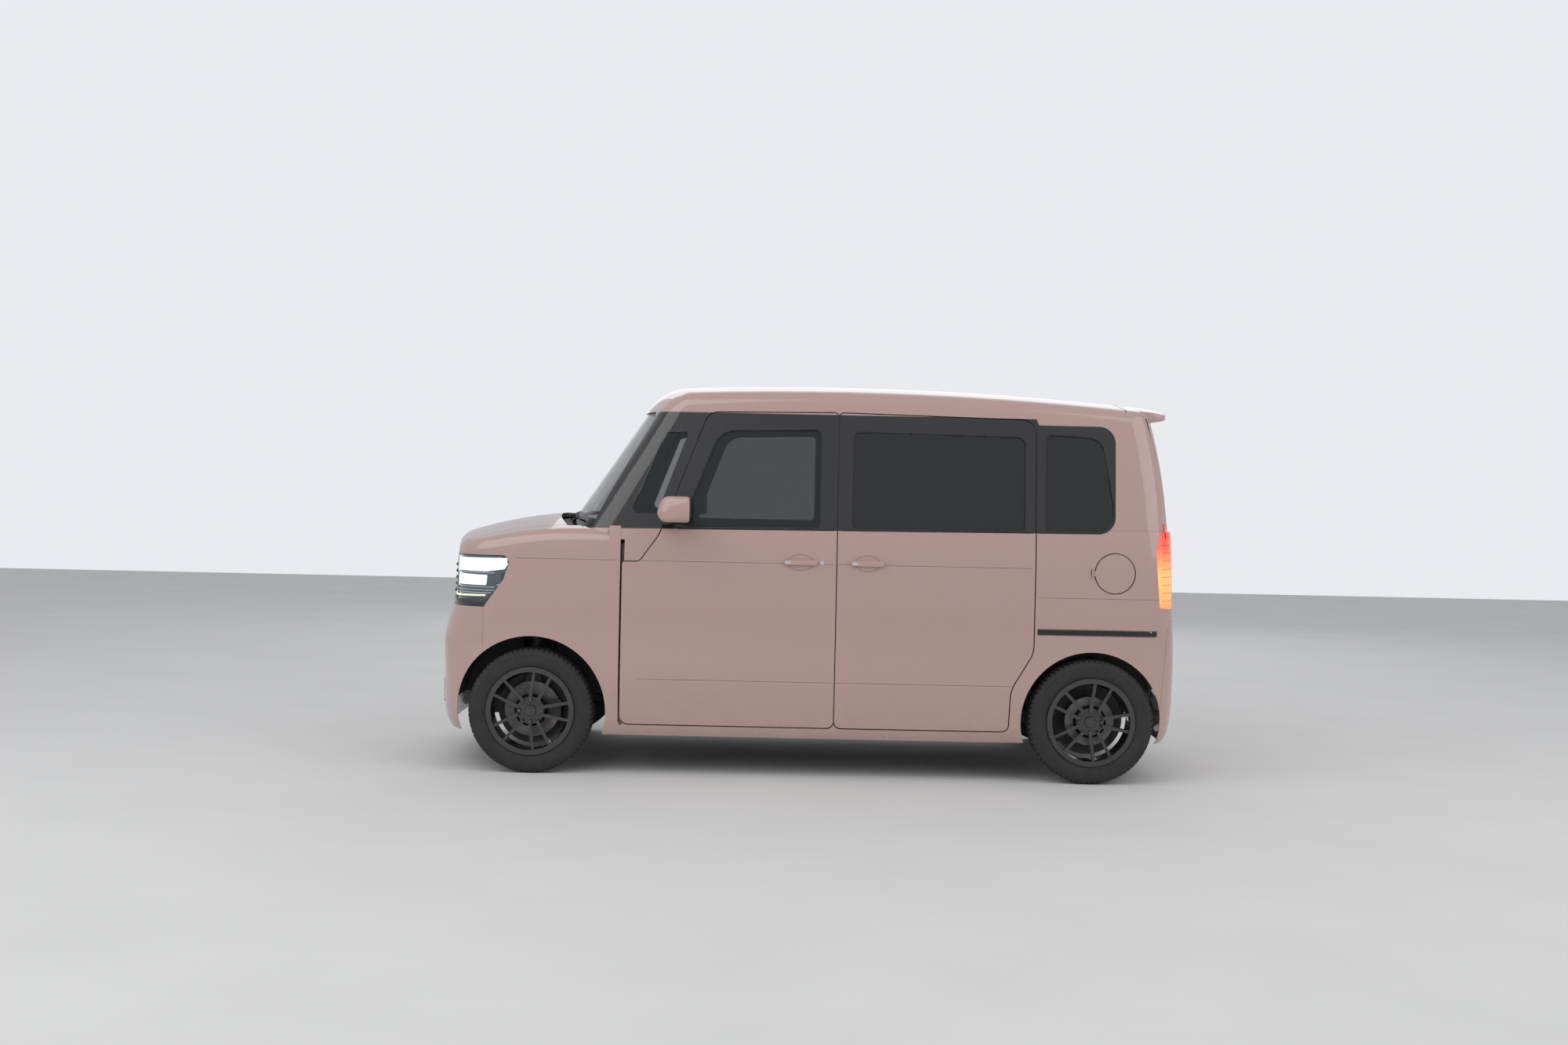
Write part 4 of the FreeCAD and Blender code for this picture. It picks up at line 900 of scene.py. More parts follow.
@dataclass
class RoadWheel:
    """A treaded tyre over one CAD tyre, the nuts, cap and valve of its rim, and the brake's shield."""

    end: str
    hand: str
    x: float
    y: float
    height: float = 0.281
    crown: float = 0.2806
    groove: float = 0.2742
    blocks: int = 72
    nuts: int = 4
    nut_circle: float = 0.050
    shield_in: float = 0.052
    nut_seat: float = 0.0525
    carcass_steps: int = 120

    @property
    def body(self) -> str:
        """The CAD body of this wheel."""
        return f"wheel_{self.end}_{self.hand}"

    @property
    def carrier(self) -> str:
        """The CAD body that carries this wheel."""
        return f"knuckle_{self.hand}_assembly" if self.end == "front" else "body"

    @property
    def flank(self) -> list[Flat]:
        """The sidewall from the bead to the edge of the tread, as (radius, place across)."""
        return [(0.1912, 0.0702), (0.2000, 0.0752), (0.2100, 0.0790), (0.2230, 0.0815), (0.2360, 0.0822),
                (0.2470, 0.0812), (0.2480, 0.0819), (0.2500, 0.0819), (0.2510, 0.0806), (0.2580, 0.0795),
                (0.2640, 0.0768), (0.2690, 0.0728), (0.2725, 0.0680), (self.groove, 0.0620)]

    def section(self) -> list[Flat]:
        """The closed section of the tyre, with the rib round its middle."""
        rib = [(self.groove, 0.0152), (self.crown, 0.0130)]
        half = self.flank + rib
        return half + [(r, -y) for r, y in reversed(half)]

    def lug(self, name: str, rows: Sequence[tuple[float, float, float]], half: float) -> bpy.types.Object:
        """One tread block: a section of (radius, place across, shift round) swept round a little."""
        rings = [[Vector((r, side * half + shift, y)) for r, y, shift in rows] for side in (-1, 1)]
        return lofted(name, rings)

    def tread(self) -> bpy.types.Object:
        """The rows of blocks on both sides of the middle rib."""
        inner = ((0.2720, 0.0205, 0.0), (self.crown, 0.0205, 0.0), (0.2803, 0.0425, 0.005),
                 (0.2720, 0.0425, 0.005))
        outer = ((0.2690, 0.0485, 0.006), (0.2800, 0.0485, 0.006), (0.2792, 0.0600, 0.003),
                 (0.2762, 0.0682, 0.0),
                 (0.2715, 0.0735, 0.0), (0.2670, 0.0745, 0.0), (0.2660, 0.0700, 0.0))
        pieces = []
        for label, rows, half in (("inner", inner, 0.0098), ("outer", outer, 0.0088)):
            row = repeated(self.lug(f"{self.body}_{label}_blocks", rows, half), self.blocks, Finish.TYRE,
                           turn=2 * math.pi / self.blocks)
            twin = mirrored(row, f"{row.name}_inside")
            twin.data.transform(Matrix.Scale(-1, 4, (0, 0, 1)))
            twin.data.flip_normals()
            pieces += [row, twin]
        tread = joined(f"{self.body}_tread", pieces)
        tread.data.transform(Matrix.Translation((self.x, self.y, self.height))
                             @ Matrix.Rotation(math.pi / 2, 4, "X"))
        return tread

    def build(self) -> None:
        """Makes and fits the pieces."""
        carcass = lathe(f"{self.body}_tyre", self.section(), (self.x, self.y, self.height),
                        self.carcass_steps)
        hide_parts(f"tyre_{self.end}_{self.hand}")
        fit(carcass, Finish.TYRE, self.body)
        fit(self.tread(), Finish.TYRE, self.body)
        out = math.copysign(1.0, self.y)
        nut = [(0.0098, 0.0), (0.0098, 0.010), (0.0088, 0.0125), (0.0060, 0.0165)]
        rings = [[Vector((self.nut_circle + r * math.cos(k * math.pi / 3), r * math.sin(k * math.pi / 3),
                          along))
                  for k in range(6)] for r, along in nut]
        nuts = repeated(lofted(f"{self.body}_nuts", rings), self.nuts, Finish.IRON,
                        turn=2 * math.pi / self.nuts)
        face = self.y + out * self.nut_seat
        turned = Matrix.Rotation(-out * math.pi / 2, 4, "X")
        nuts.data.transform(Matrix.Translation((self.x, face, self.height)) @ turned)
        fit(nuts, Finish.IRON, self.body)
        cap = [(0.0, 0.0545), (0.026, 0.0545), (0.027, 0.0600), (0.0245, 0.0640), (0.0140, 0.0655),
               (0.0, 0.0660)]
        fit(lathe(f"{self.body}_cap", [(r, out * y) for r, y in cap], (self.x, self.y, self.height), 48),
            Finish.GLOSS_BLACK, self.body)
        inner = self.y - out * self.shield_in
        shield = [(0.034, 0.0), (0.150, 0.0), (0.158, 0.005 * out), (0.160, 0.005 * out),
                  (0.152, -0.002 * out),
                  (0.034, -0.002 * out)]
        shield = [(r, inner + y) for r, y in shield]
        fit(lathe(f"{self.body}_shield", shield, (self.x, 0.0, self.height), 64), Finish.CHASSIS,
            self.carrier)
        valve = smooth_path([(self.x + 0.118, self.y + out * y, self.height + 0.132 - drop)
                             for y, drop in ((0.045, 0.0), (0.062, 0.003), (0.074, 0.006))])
        fit(tube(f"{self.body}_valve", valve, 0.0038, 10), Finish.RUBBER, self.body)


@dataclass
class Springs:
    """Coil springs at the four corners."""

    wire: float = 0.0058
    coil: float = 0.060
    front_low: Point = (-1.2225, -0.5164, 0.600)
    front_high: Point = (-1.2225, -0.4870, 0.776)
    rear: tuple[float, float, float, float] = (1.2075, -0.485, 0.305, 0.415)

    def helix(self, name: str, low: Vector, high: Vector, radius: float, turns: int) -> bpy.types.Object:
        """A coil about the line from low to high."""
        along = (high - low).normalized()
        across = along.orthogonal().normalized()
        other = along.cross(across)
        path = []
        for k in range(turns * 20 + 1):
            a = 2 * math.pi * k / 20
            spot = low.lerp(high, k / (turns * 20)) + (across * math.cos(a) + other * math.sin(a)) * radius
            path.append(tuple(spot))
        return tube(name, path, self.wire, 8)

    def build(self) -> None:
        """Makes and fits the four springs."""
        front = self.helix("spring_front_left", Vector(self.front_low), Vector(self.front_high), self.coil, 5)
        fit_pair(front, Finish.IRON, KNUCKLES)
        x, y, low, high = self.rear
        rear = self.helix("spring_rear_left", Vector((x, y, low + 0.006)), Vector((x, y, high - 0.006)),
                          0.051, 4)
        fit_pair(rear, Finish.IRON, BODY)


# Lamps and front


@dataclass
class HeadLamps:
    """Light bars, ribs and a dark bucket behind each clear lamp."""

    nodes: dict[str, bpy.types.Object]
    upper: tuple[Corner, ...] = ((-0.905, 0.904, 0.004), (-0.905, 0.962, 0.006), (-0.418, 0.966, 0.004),
                                 (-0.440, 0.915, 0.010), (-0.50, 0.904, 0.03))
    lower: tuple[Corner, ...] = ((-0.905, 0.840, 0.004), (-0.905, 0.892, 0.004), (-0.500, 0.888, 0.004),
                                 (-0.505, 0.842, 0.004))
    sill: tuple[Corner, ...] = ((-0.890, 0.784, 0.002), (-0.890, 0.793, 0.002), (-0.505, 0.801, 0.002),
                                (-0.505, 0.794, 0.002))

    def build(self) -> None:
        """Makes and fits the pieces."""
        skin = Skin(self.nodes["headlamps"])
        for name, outline, finish, lift, thick in (
            ("bar_upper", self.upper, Finish.LIGHT_BAR, -0.006, 0.006),
            ("bar_lower", self.lower, Finish.LIGHT_BAR, -0.008, 0.006),
            ("sill_light", self.sill, Finish.SIDE_LIGHT, -0.003, 0.004),
        ):
            piece = skin.patch(f"headlamp_{name}_left", rounded(outline), View.CORNER, lift, thick, 0.012)
            fit_pair(piece, finish, BODY)
        for k, z in enumerate((0.898, 0.834, 0.820, 0.808)):
            rib = oblong(-0.905, -0.47, z - 0.0018, z + 0.0018)
            piece = skin.patch(f"headlamp_rib_left_{k}", rib, View.CORNER, -0.003, 0.010, 0.012)
            fit_pair(piece, Finish.CHROME, BODY)
        bucket = rounded(((-0.925, 0.762, 0.004), (-0.925, 0.974, 0.004), (-0.405, 0.974, 0.01),
                          (-0.445, 0.79, 0.02)))
        piece = skin.patch("headlamp_bucket_left", bucket, View.CORNER, -0.016, 0.003, 0.015)
        fit_pair(piece, Finish.LAMP_BUCKET, BODY)


@dataclass
class FrontFace:
    """Grille slats, bright bar, bumper intake with painted shade in its opening, radiator and blank front
    plate.
    """

    nodes: dict[str, bpy.types.Object]
    car_front: float = -1.6992
    plate_size: tuple[float, float] = (0.330, 0.165)
    plate_height: float = 0.345
    slat_count: int = 5
    slat_low: float = 0.795
    slat_pitch: float = 0.030
    slat_half: float = 0.385
    fin_count: int = 83
    fin_pitch: float = 0.007
    intake_slats: int = 5
    intake_middle: float = 0.330
    intake_pitch: float = 0.0225

    def build(self) -> None:
        """Makes and fits the pieces."""
        grille = Skin(self.nodes["grille"])
        bar = grille.patch("grille_bar", oblong(-0.395, 0.395, 0.9445, 0.9525, 0.002), View.FRONT, 0.0014,
                           0.004, 0.02)
        fit(bar, Finish.CHROME)
        for k in range(self.slat_count):
            z = self.slat_low + self.slat_pitch * k
            ends = [(-self.slat_half, z), (self.slat_half, z)]
            slat = grille.strip(f"grille_slat_{k}", ends, View.FRONT, 0.017, 0.010)
            fit(slat, Finish.GLOSS_BLACK)
            edge = grille.strip(f"grille_edge_{k}", ends, View.FRONT, 0.0045, 0.0115)
            fit(edge, Finish.CHROME)
        bumper = Skin(self.nodes["front_bumper"])
        self.intake(bumper)
        fins = plate("radiator_fins", oblong(-0.290, -0.287, 0.444, 0.722), View.FRONT, -1.572, -1.550,
                     0.0004)
        repeated(fins, self.fin_count, Finish.IRON, step=(0.0, self.fin_pitch, 0.0))
        fit(fins, Finish.IRON, "body")
        for side, low, high in (("low", 0.432, 0.462), ("high", 0.704, 0.730)):
            tank = plate(f"radiator_tank_{side}", oblong(-0.305, 0.305, low, high, 0.006), View.FRONT, -1.576,
                         -1.5455)
            fit(tank, Finish.PLASTIC)
        width, height = self.plate_size
        low, high = self.plate_height - height / 2, self.plate_height + height / 2
        reach = min(bumper.meet(View.FRONT, y, z)[0].x for y in (-width / 2, 0.0, width / 2)
                    for z in (low, high))
        face = max(reach - 0.004, self.car_front + 0.0004)
        outline = oblong(-width / 2, width / 2, low, high, 0.012)
        board = plate("front_plate", outline, View.FRONT, face, face + 0.012, 0.001)
        fit(board, Finish.BARE_PLATE, "body")

    def intake(self, bumper: Skin) -> None:
        """Makes the intake: a dark patch of painted shade flush on the bumper where its shaded opening would
        be, its slats and its rim.
        """
        mouth = rounded(((-0.420, 0.268, 0.03), (-0.470, 0.392, 0.045), (0.470, 0.392, 0.045),
                         (0.420, 0.268, 0.03)))
        # The mouth patch is painted shade: a dark sheet flush on the bumper in place of the opening's shade.
        fit(bumper.patch("intake_painted_shade", mouth, View.FRONT, 0.0005, 0.003), Finish.RUBBER)
        fit(bumper.strip("intake_rim", mouth, View.FRONT, 0.007, 0.0016, closed=True), Finish.PLASTIC)
        rings = []
        for k in range(23):
            y = -0.418 + 0.038 * k
            x = bumper.meet(View.FRONT, y, self.intake_middle)[0].x
            rings.append([Vector((x + dx, y, z)) for dx, z in (
                (-0.0034, 0.2835), (-0.0034, 0.2855), (-0.001, 0.288), (0.008, 0.288), (0.008, 0.281),
                (-0.001, 0.281))])
        slats = repeated(lofted("intake_slats", rings), self.intake_slats, Finish.PLASTIC,
                         step=(0.0, 0.0, self.intake_pitch))
        fit(slats, Finish.PLASTIC)


@dataclass
class TailEnd:
    """Tail lamp ribs, blank rear plate, rear wiper and plain handle."""

    nodes: dict[str, bpy.types.Object]
    rib_count: int = 9
    rib_low: float = 0.832
    rib_pitch: float = 0.036

    def build(self) -> None:
        """Makes and fits the pieces."""
        lamps = Skin(self.nodes["tail_lamps"])
        for k in range(self.rib_count):
            z = self.rib_low + self.rib_pitch * k
            rib = lamps.strip(f"tail_lamp_rib_left_{k}", [(1.604, z), (1.664, z)], View.LEFT, 0.0026, 0.0006,
                              step=0.008)
            fit_pair(rib, Finish.RED_LENS, BODY)
        gate = Skin(self.nodes["tailgate"])
        board = gate.patch("rear_plate", oblong(-0.165, 0.165, 0.6375, 0.8025, 0.012), View.REAR, 0.0036,
                           0.005, 0.03)
        fit(board, Finish.BARE_PLATE, GATE)
        grip = gate.patch("tailgate_handle", oblong(-0.16, 0.16, 0.845, 0.868, 0.010), View.REAR, 0.0005,
                          0.006)
        fit(grip, Finish.GLOSS_BLACK, GATE)
        glass = Skin(self.nodes["tailgate_glass"])
        blade = glass.strip("rear_wiper_blade", [(-0.29, 1.196), (-0.12, 1.202), (0.05, 1.200)], View.REAR,
                            0.010, 0.010)
        fit(blade, Finish.RUBBER, GATE)
        spots = [gate.meet(View.REAR, 0.0, 1.135)[0] + Vector((0.006, 0, 0))]
        spots += [glass.meet(View.REAR, y, z)[0] + Vector((0.016, 0, 0))
                  for y, z in ((-0.03, 1.185), (-0.12, 1.203))]
        arm = tube("rear_wiper_arm", smooth_path([tuple(p) for p in spots]), 0.006, 10)
        fit(arm, Finish.PLASTIC, GATE)
        knob = gate.patch("rear_wiper_pivot", circle(0.0, 1.135, 0.024, 28), View.REAR, 0.014, 0.016, 0.010)
        fit(knob, Finish.PLASTIC, GATE)


@dataclass
class Spoiler:
    """The roof spoiler on the tailgate, with the high stop lamp in its trailing edge."""

    crown_x: float = 0.150
    crown_z: float = 1.7906
    curve_along: float = 30.0
    curve_across: float = 7.8
    droop_from: float = 1.560
    droop: float = 0.012
    front: float = 1.512
    rear: float = 1.658
    half: float = 0.562
    under_front: float = 1.668
    under_rear: float = 1.690

    def faces(self, spot: Flat) -> tuple[Vector, Vector]:
        """The points of the upper and the lower face over one point of the plan."""
        x, y = spot
        fall = y * y / self.curve_across
        share = (x - self.front) / (self.rear - self.front)
        bend = max(0.0, (x - self.droop_from) / (self.rear - self.droop_from))
        top = self.crown_z - (x - self.crown_x) ** 2 / self.curve_along - self.droop * bend * bend
        under = self.under_front + (self.under_rear - self.under_front) * share
        return Vector((x, y, top - fall)), Vector((x, y, under - fall))

    def build(self) -> None:
        """Makes and fits the pieces."""
        plan = rounded([(x, side * y, radius) for side, order in ((-1, 1), (1, -1)) for x, y, radius in (
            (self.front, self.half, 0.0), (self.rear - 0.022, self.half, 0.070),
            (self.rear, 0.300, 0.300))[::order]])
        wing = eased(slab("roof_spoiler", gridded(plan, 0.022), self.faces), 0.0035, 2, 40.0)
        skin = Skin(wing)
        fit(wing, Finish.PAINT, GATE)
        stop = skin.patch("high_stop_lamp", oblong(-0.16, 0.16, 1.6915, 1.6985, 0.003), View.REAR, 0.0004,
                          0.004)
        fit(stop, Finish.TAIL_DIM, GATE)


@dataclass
class Wipers:
    """Two front wiper arms with their blades, parked low on the windscreen."""

    nodes: dict[str, bpy.types.Object]
    cowl_edge: float = 1.112

    def build(self) -> None:
        """Makes and fits the pieces."""
        glass = Skin(self.nodes["windscreen"])
        for name, pivot, blade in (
            ("near", (0.02, 1.112), ((-0.56, 1.136), (-0.25, 1.150), (0.05, 1.160))),
            ("far", (0.60, 1.118), ((0.10, 1.142), (0.34, 1.152), (0.58, 1.158))),
        ):
            rubber = glass.strip(f"wiper_blade_{name}", blade, View.FRONT, 0.009, 0.013)
            fit(rubber, Finish.RUBBER)
            middle = blade[1]
            spots = []
            for y, z, off in ((pivot[0], pivot[1], 0.012),
                              ((pivot[0] + middle[0]) / 2, (pivot[1] + middle[1]) / 2, 0.024),
                              (*middle, 0.017)):
                place, normal = glass.meet(View.FRONT, y, max(z, self.cowl_edge))
                spots.append(tuple(place + normal * off))
            fit(tube(f"wiper_arm_{name}", smooth_path(spots), 0.0055, 10), Finish.PLASTIC)
            hub, normal = glass.meet(View.FRONT, pivot[0], self.cowl_edge)
            boss = tube(f"wiper_pivot_{name}", [tuple(hub + normal * d) for d in (0.0, 0.006, 0.018, 0.020)],
                        0.013, 24)
            fit(boss, Finish.PLASTIC)


# Body sides


@dataclass
class BodySides:
    """Painted shade lines along the creases, a quarter joint line, belt mouldings, window seals, painted
    shade for the slide rails, door handles with painted shade round them, and the filler cap.
    """

    nodes: dict[str, bpy.types.Object]
    crease: float = 0.968
    sill_crease: float = 0.437
    joint: float = 0.838
    grip_height: float = 0.974
    belt_height: float = 1.1205
    belt_rise: float = 0.008
    rail_start: float = 1.046
    rail_end: float = 1.585
    rail_low: float = 0.673
    rail_high: float = 0.695
    rail_lip: float = 0.002

    def lines(self) -> None:
        """The fine dark lines along the panels: painted shade along the creases, and the quarter joint."""
        # The crease strips are painted shade: dark lines in a darkened paint tone where the panel turns; the
        # quarter joint line is a joint.
        for name, node, bodies, start, end, z in (
            ("wing_crease_shade", "front_wing", BODY, -1.300, -0.836, self.crease),
            ("door_crease_shade", "front_door", DOORS, -0.742, 0.132, self.crease),
            ("door_sill_crease_shade", "front_door", DOORS, -0.742, 0.132, self.sill_crease),
            ("slide_crease_shade", "sliding_door", BODY, 0.150, 1.018, self.crease),
            ("slide_sill_crease_shade", "sliding_door", BODY, 0.150, 0.990, self.sill_crease),
            ("quarter_joint", "body_side", BODY, 1.046, 1.590, self.joint),
        ):
            skin = Skin(self.nodes[f"{node}_left"])
            line = skin.strip(f"{name}_left", [(start, z), (end, z)], View.LEFT, 0.0020, 0.0003, step=0.01)
            fit_pair(line, Finish.JOINT_AND_SHADE_LINE, bodies)

    def belt(self) -> None:
        """The mouldings under the side windows."""
        for name, node, bodies, start, end in (
            ("door_belt", "front_door", DOORS, -0.575, 0.128),
            ("slide_belt", "sliding_door", BODY, 0.158, 1.020),
            ("quarter_belt", "body_side", BODY, 1.046, 1.325),
        ):
            skin = Skin(self.nodes[f"{node}_left"])
            path = [(x, self.belt_height + self.belt_rise * x) for x in (start, end)]
            strip = skin.strip(f"{name}_left", path, View.LEFT, 0.009, 0.0022, step=0.02)
            fit_pair(strip, Finish.RUBBER, bodies)

    def seals(self) -> None:
        """The seals round the side windows."""
        for name, nodes, bodies, corners in (
            ("door_seal", ("front_door_left", "door_glass_left"), DOORS,
             ((-0.560, 1.128, 0.025), (-0.395, 1.560, 0.110), (0.062, 1.572, 0.030), (0.062, 1.128, 0.025))),
            ("slide_seal", ("sliding_door_left", "sliding_door_glass"), BODY,
             ((0.209, 1.132, 0.025), (0.209, 1.566, 0.030), (0.985, 1.556, 0.040), (0.985, 1.134, 0.025))),
            ("quarter_seal", ("body_side_left", "quarter_glass"), BODY,
             ((1.078, 1.136, 0.025), (1.078, 1.572, 0.030), (1.330, 1.560, 0.080), (1.405, 1.136, 0.100))),
        ):
            skin = Skin(*(self.nodes[n] for n in nodes))
            strip = skin.strip(f"{name}_left", rounded(corners), View.LEFT, 0.007, 0.0012, closed=True,
                               step=0.016)
            fit_pair(strip, Finish.RUBBER, bodies)

    def rails(self) -> None:
        """Painted shade for the channel that guides each sliding door: a dark patch flush on the skin where
        the shaded slot would be, and dark lines of painted shade along its lips.
        """
        skin = Skin(self.nodes["body_side_left"])
        start, end, low, high = self.rail_start, self.rail_end, self.rail_low, self.rail_high
        slot = rounded(((start, low, 0.0), (start, high, 0.0), (end, high, 0.011), (end, low, 0.011)))
        # The dark patch is painted shade: it lies on the skin where the slot's shaded hollow would be.
        fit_pair(skin.patch("slide_rail_left", slot, View.LEFT, 0.0003, 0.002, 0.02), Finish.RUBBER)
        # The lip lines are painted shade along the slot's edges.
        for name, z in (("lower", low - self.rail_lip), ("upper", high + self.rail_lip)):
            lip = skin.strip(f"rail_{name}_lip_left", [(start, z), (end, z)], View.LEFT, 0.004, 0.0012,
                             step=0.02)
            fit_pair(lip, Finish.JOINT_AND_SHADE_LINE, BODY)

    def grips(self) -> None:
        """The door handles with their bright front ends, a dark oval of painted shade round each handle where
        its dish would be, and the lock beside the front one.
        """
        z = self.grip_height
        for name, node, bodies, x in (("door", "front_door", DOORS, -0.095),
                                      ("slide", "sliding_door", BODY, 0.205)):
            skin = Skin(self.nodes[f"{node}_left"])
            # A dark oval ring of painted shade stands in for the shaded dish behind the handle.
            dish_shade = [(x + 0.075 + 1.55 * u, z + v) for u, v in circle(0.0, 0.0, 0.036, 60)]
            dish_shade = skin.strip(f"{name}_grip_hollow_left", dish_shade, View.LEFT, 0.0022, 0.0004, closed=True,
                                step=0.02)
            fit_pair(dish_shade, Finish.JOINT_AND_SHADE_LINE, bodies)
            grip = plate(f"{name}_grip_left", oblong(x, x + 0.150, z - 0.012, z + 0.012, 0.011), View.LEFT,
                         -0.7475,
                         -0.7315, 0.0045)
            cap = Skin(grip).patch(f"{name}_grip_end_left",
                                   oblong(x + 0.005, x + 0.030, z - 0.007, z + 0.007, 0.006),
                                   View.LEFT, 0.0006, 0.003, 0.006)
            fit_pair(grip, Finish.PAINT, bodies)
            fit_pair(cap, Finish.CHROME, bodies)
        skin = Skin(self.nodes["front_door_left"])
        lock = skin.patch("door_lock_left", circle(0.076, z, 0.0085, 24), View.LEFT, 0.0010, 0.003, 0.005)
        fit_pair(lock, Finish.CHROME, DOORS)

    def filler(self) -> None:
        """The cap behind the fuel lid."""
        profile = [(0.0, -0.7125), (0.032, -0.7125), (0.036, -0.7095), (0.036, -0.7002), (0.0, -0.7002)]
        fit(lathe("filler_cap", profile, (1.389, 0.0, 0.952), 36), Finish.PLASTIC)
        rib = plate("filler_cap_rib", oblong(1.357, 1.421, 0.946, 0.958, 0.005), View.LEFT, -0.7130, -0.7100,
                    0.0012)
        fit(rib, Finish.PLASTIC)

    def build(self) -> None:
        """Makes and fits the pieces."""
        self.lines()
        self.belt()
        self.seals()
        self.rails()
        self.grips()
        self.filler()


@dataclass
class Mirrors:
    """The door mirrors: a rounded housing on a foot, with its glass and black rim."""

    inner: float = -0.752
    outer: float = -0.904
    rear: float = -0.514
    middle: float = 1.203
    nose: float = -0.662

    def housing(self) -> bpy.types.Object:
        """The rounded housing, flat where the glass is."""
        side = rounded(((self.nose, 1.180, 0.030), (self.nose + 0.024, 1.261, 0.050),
                        (self.rear, 1.261, 0.016),
                        (self.rear, 1.145, 0.016), (self.nose + 0.024, 1.145, 0.040)), 6)
        rings = []
        for k in range(17):
            t = math.sin(math.pi / 2 * (-1 + k / 8))
            deep = (1 - 0.93 * abs(t) ** 5) ** 0.5
            tall = (1 - 0.86 * abs(t) ** 7) ** 0.5
            y = (self.inner + self.outer) / 2 + t * (self.outer - self.inner) / 2
            rings.append([Vector((self.rear + (x - self.rear) * deep, y,
                                  self.middle + (z - self.middle) * tall))
                          for x, z in side])
        return lofted("mirror_housing_left", rings)

    def build(self) -> None:
        """Makes and fits the pieces."""
        housing = self.housing()
        skin = Skin(housing)
        foot = plate("mirror_foot_left", oblong(-0.652, -0.598, 1.133, 1.160, 0.010), View.LEFT, -0.790,
                     -0.698, 0.004)
        for piece, node in zip(fit_pair(housing, Finish.PAINT, DOORS),
                               ("mirror_left", "mirror_right")):
            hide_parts(node)
        fit_pair(foot, Finish.PLASTIC, DOORS)
        low, high = -self.outer - 0.016, -self.inner + 0.016
        face = rounded(((-low, 1.164, 0.025), (-low, 1.243, 0.030), (-high, 1.247, 0.022),
                        (-high, 1.160, 0.022)))
        glass = skin.patch("mirror_glass_left", face, View.REAR, 0.0008, 0.003, 0.02)
        fit_pair(glass, Finish.MIRROR, DOORS)
        rim = skin.strip("mirror_rim_left", face, View.REAR, 0.006, 0.0016, closed=True)
        fit_pair(rim, Finish.PLASTIC, DOORS)


# Cabin


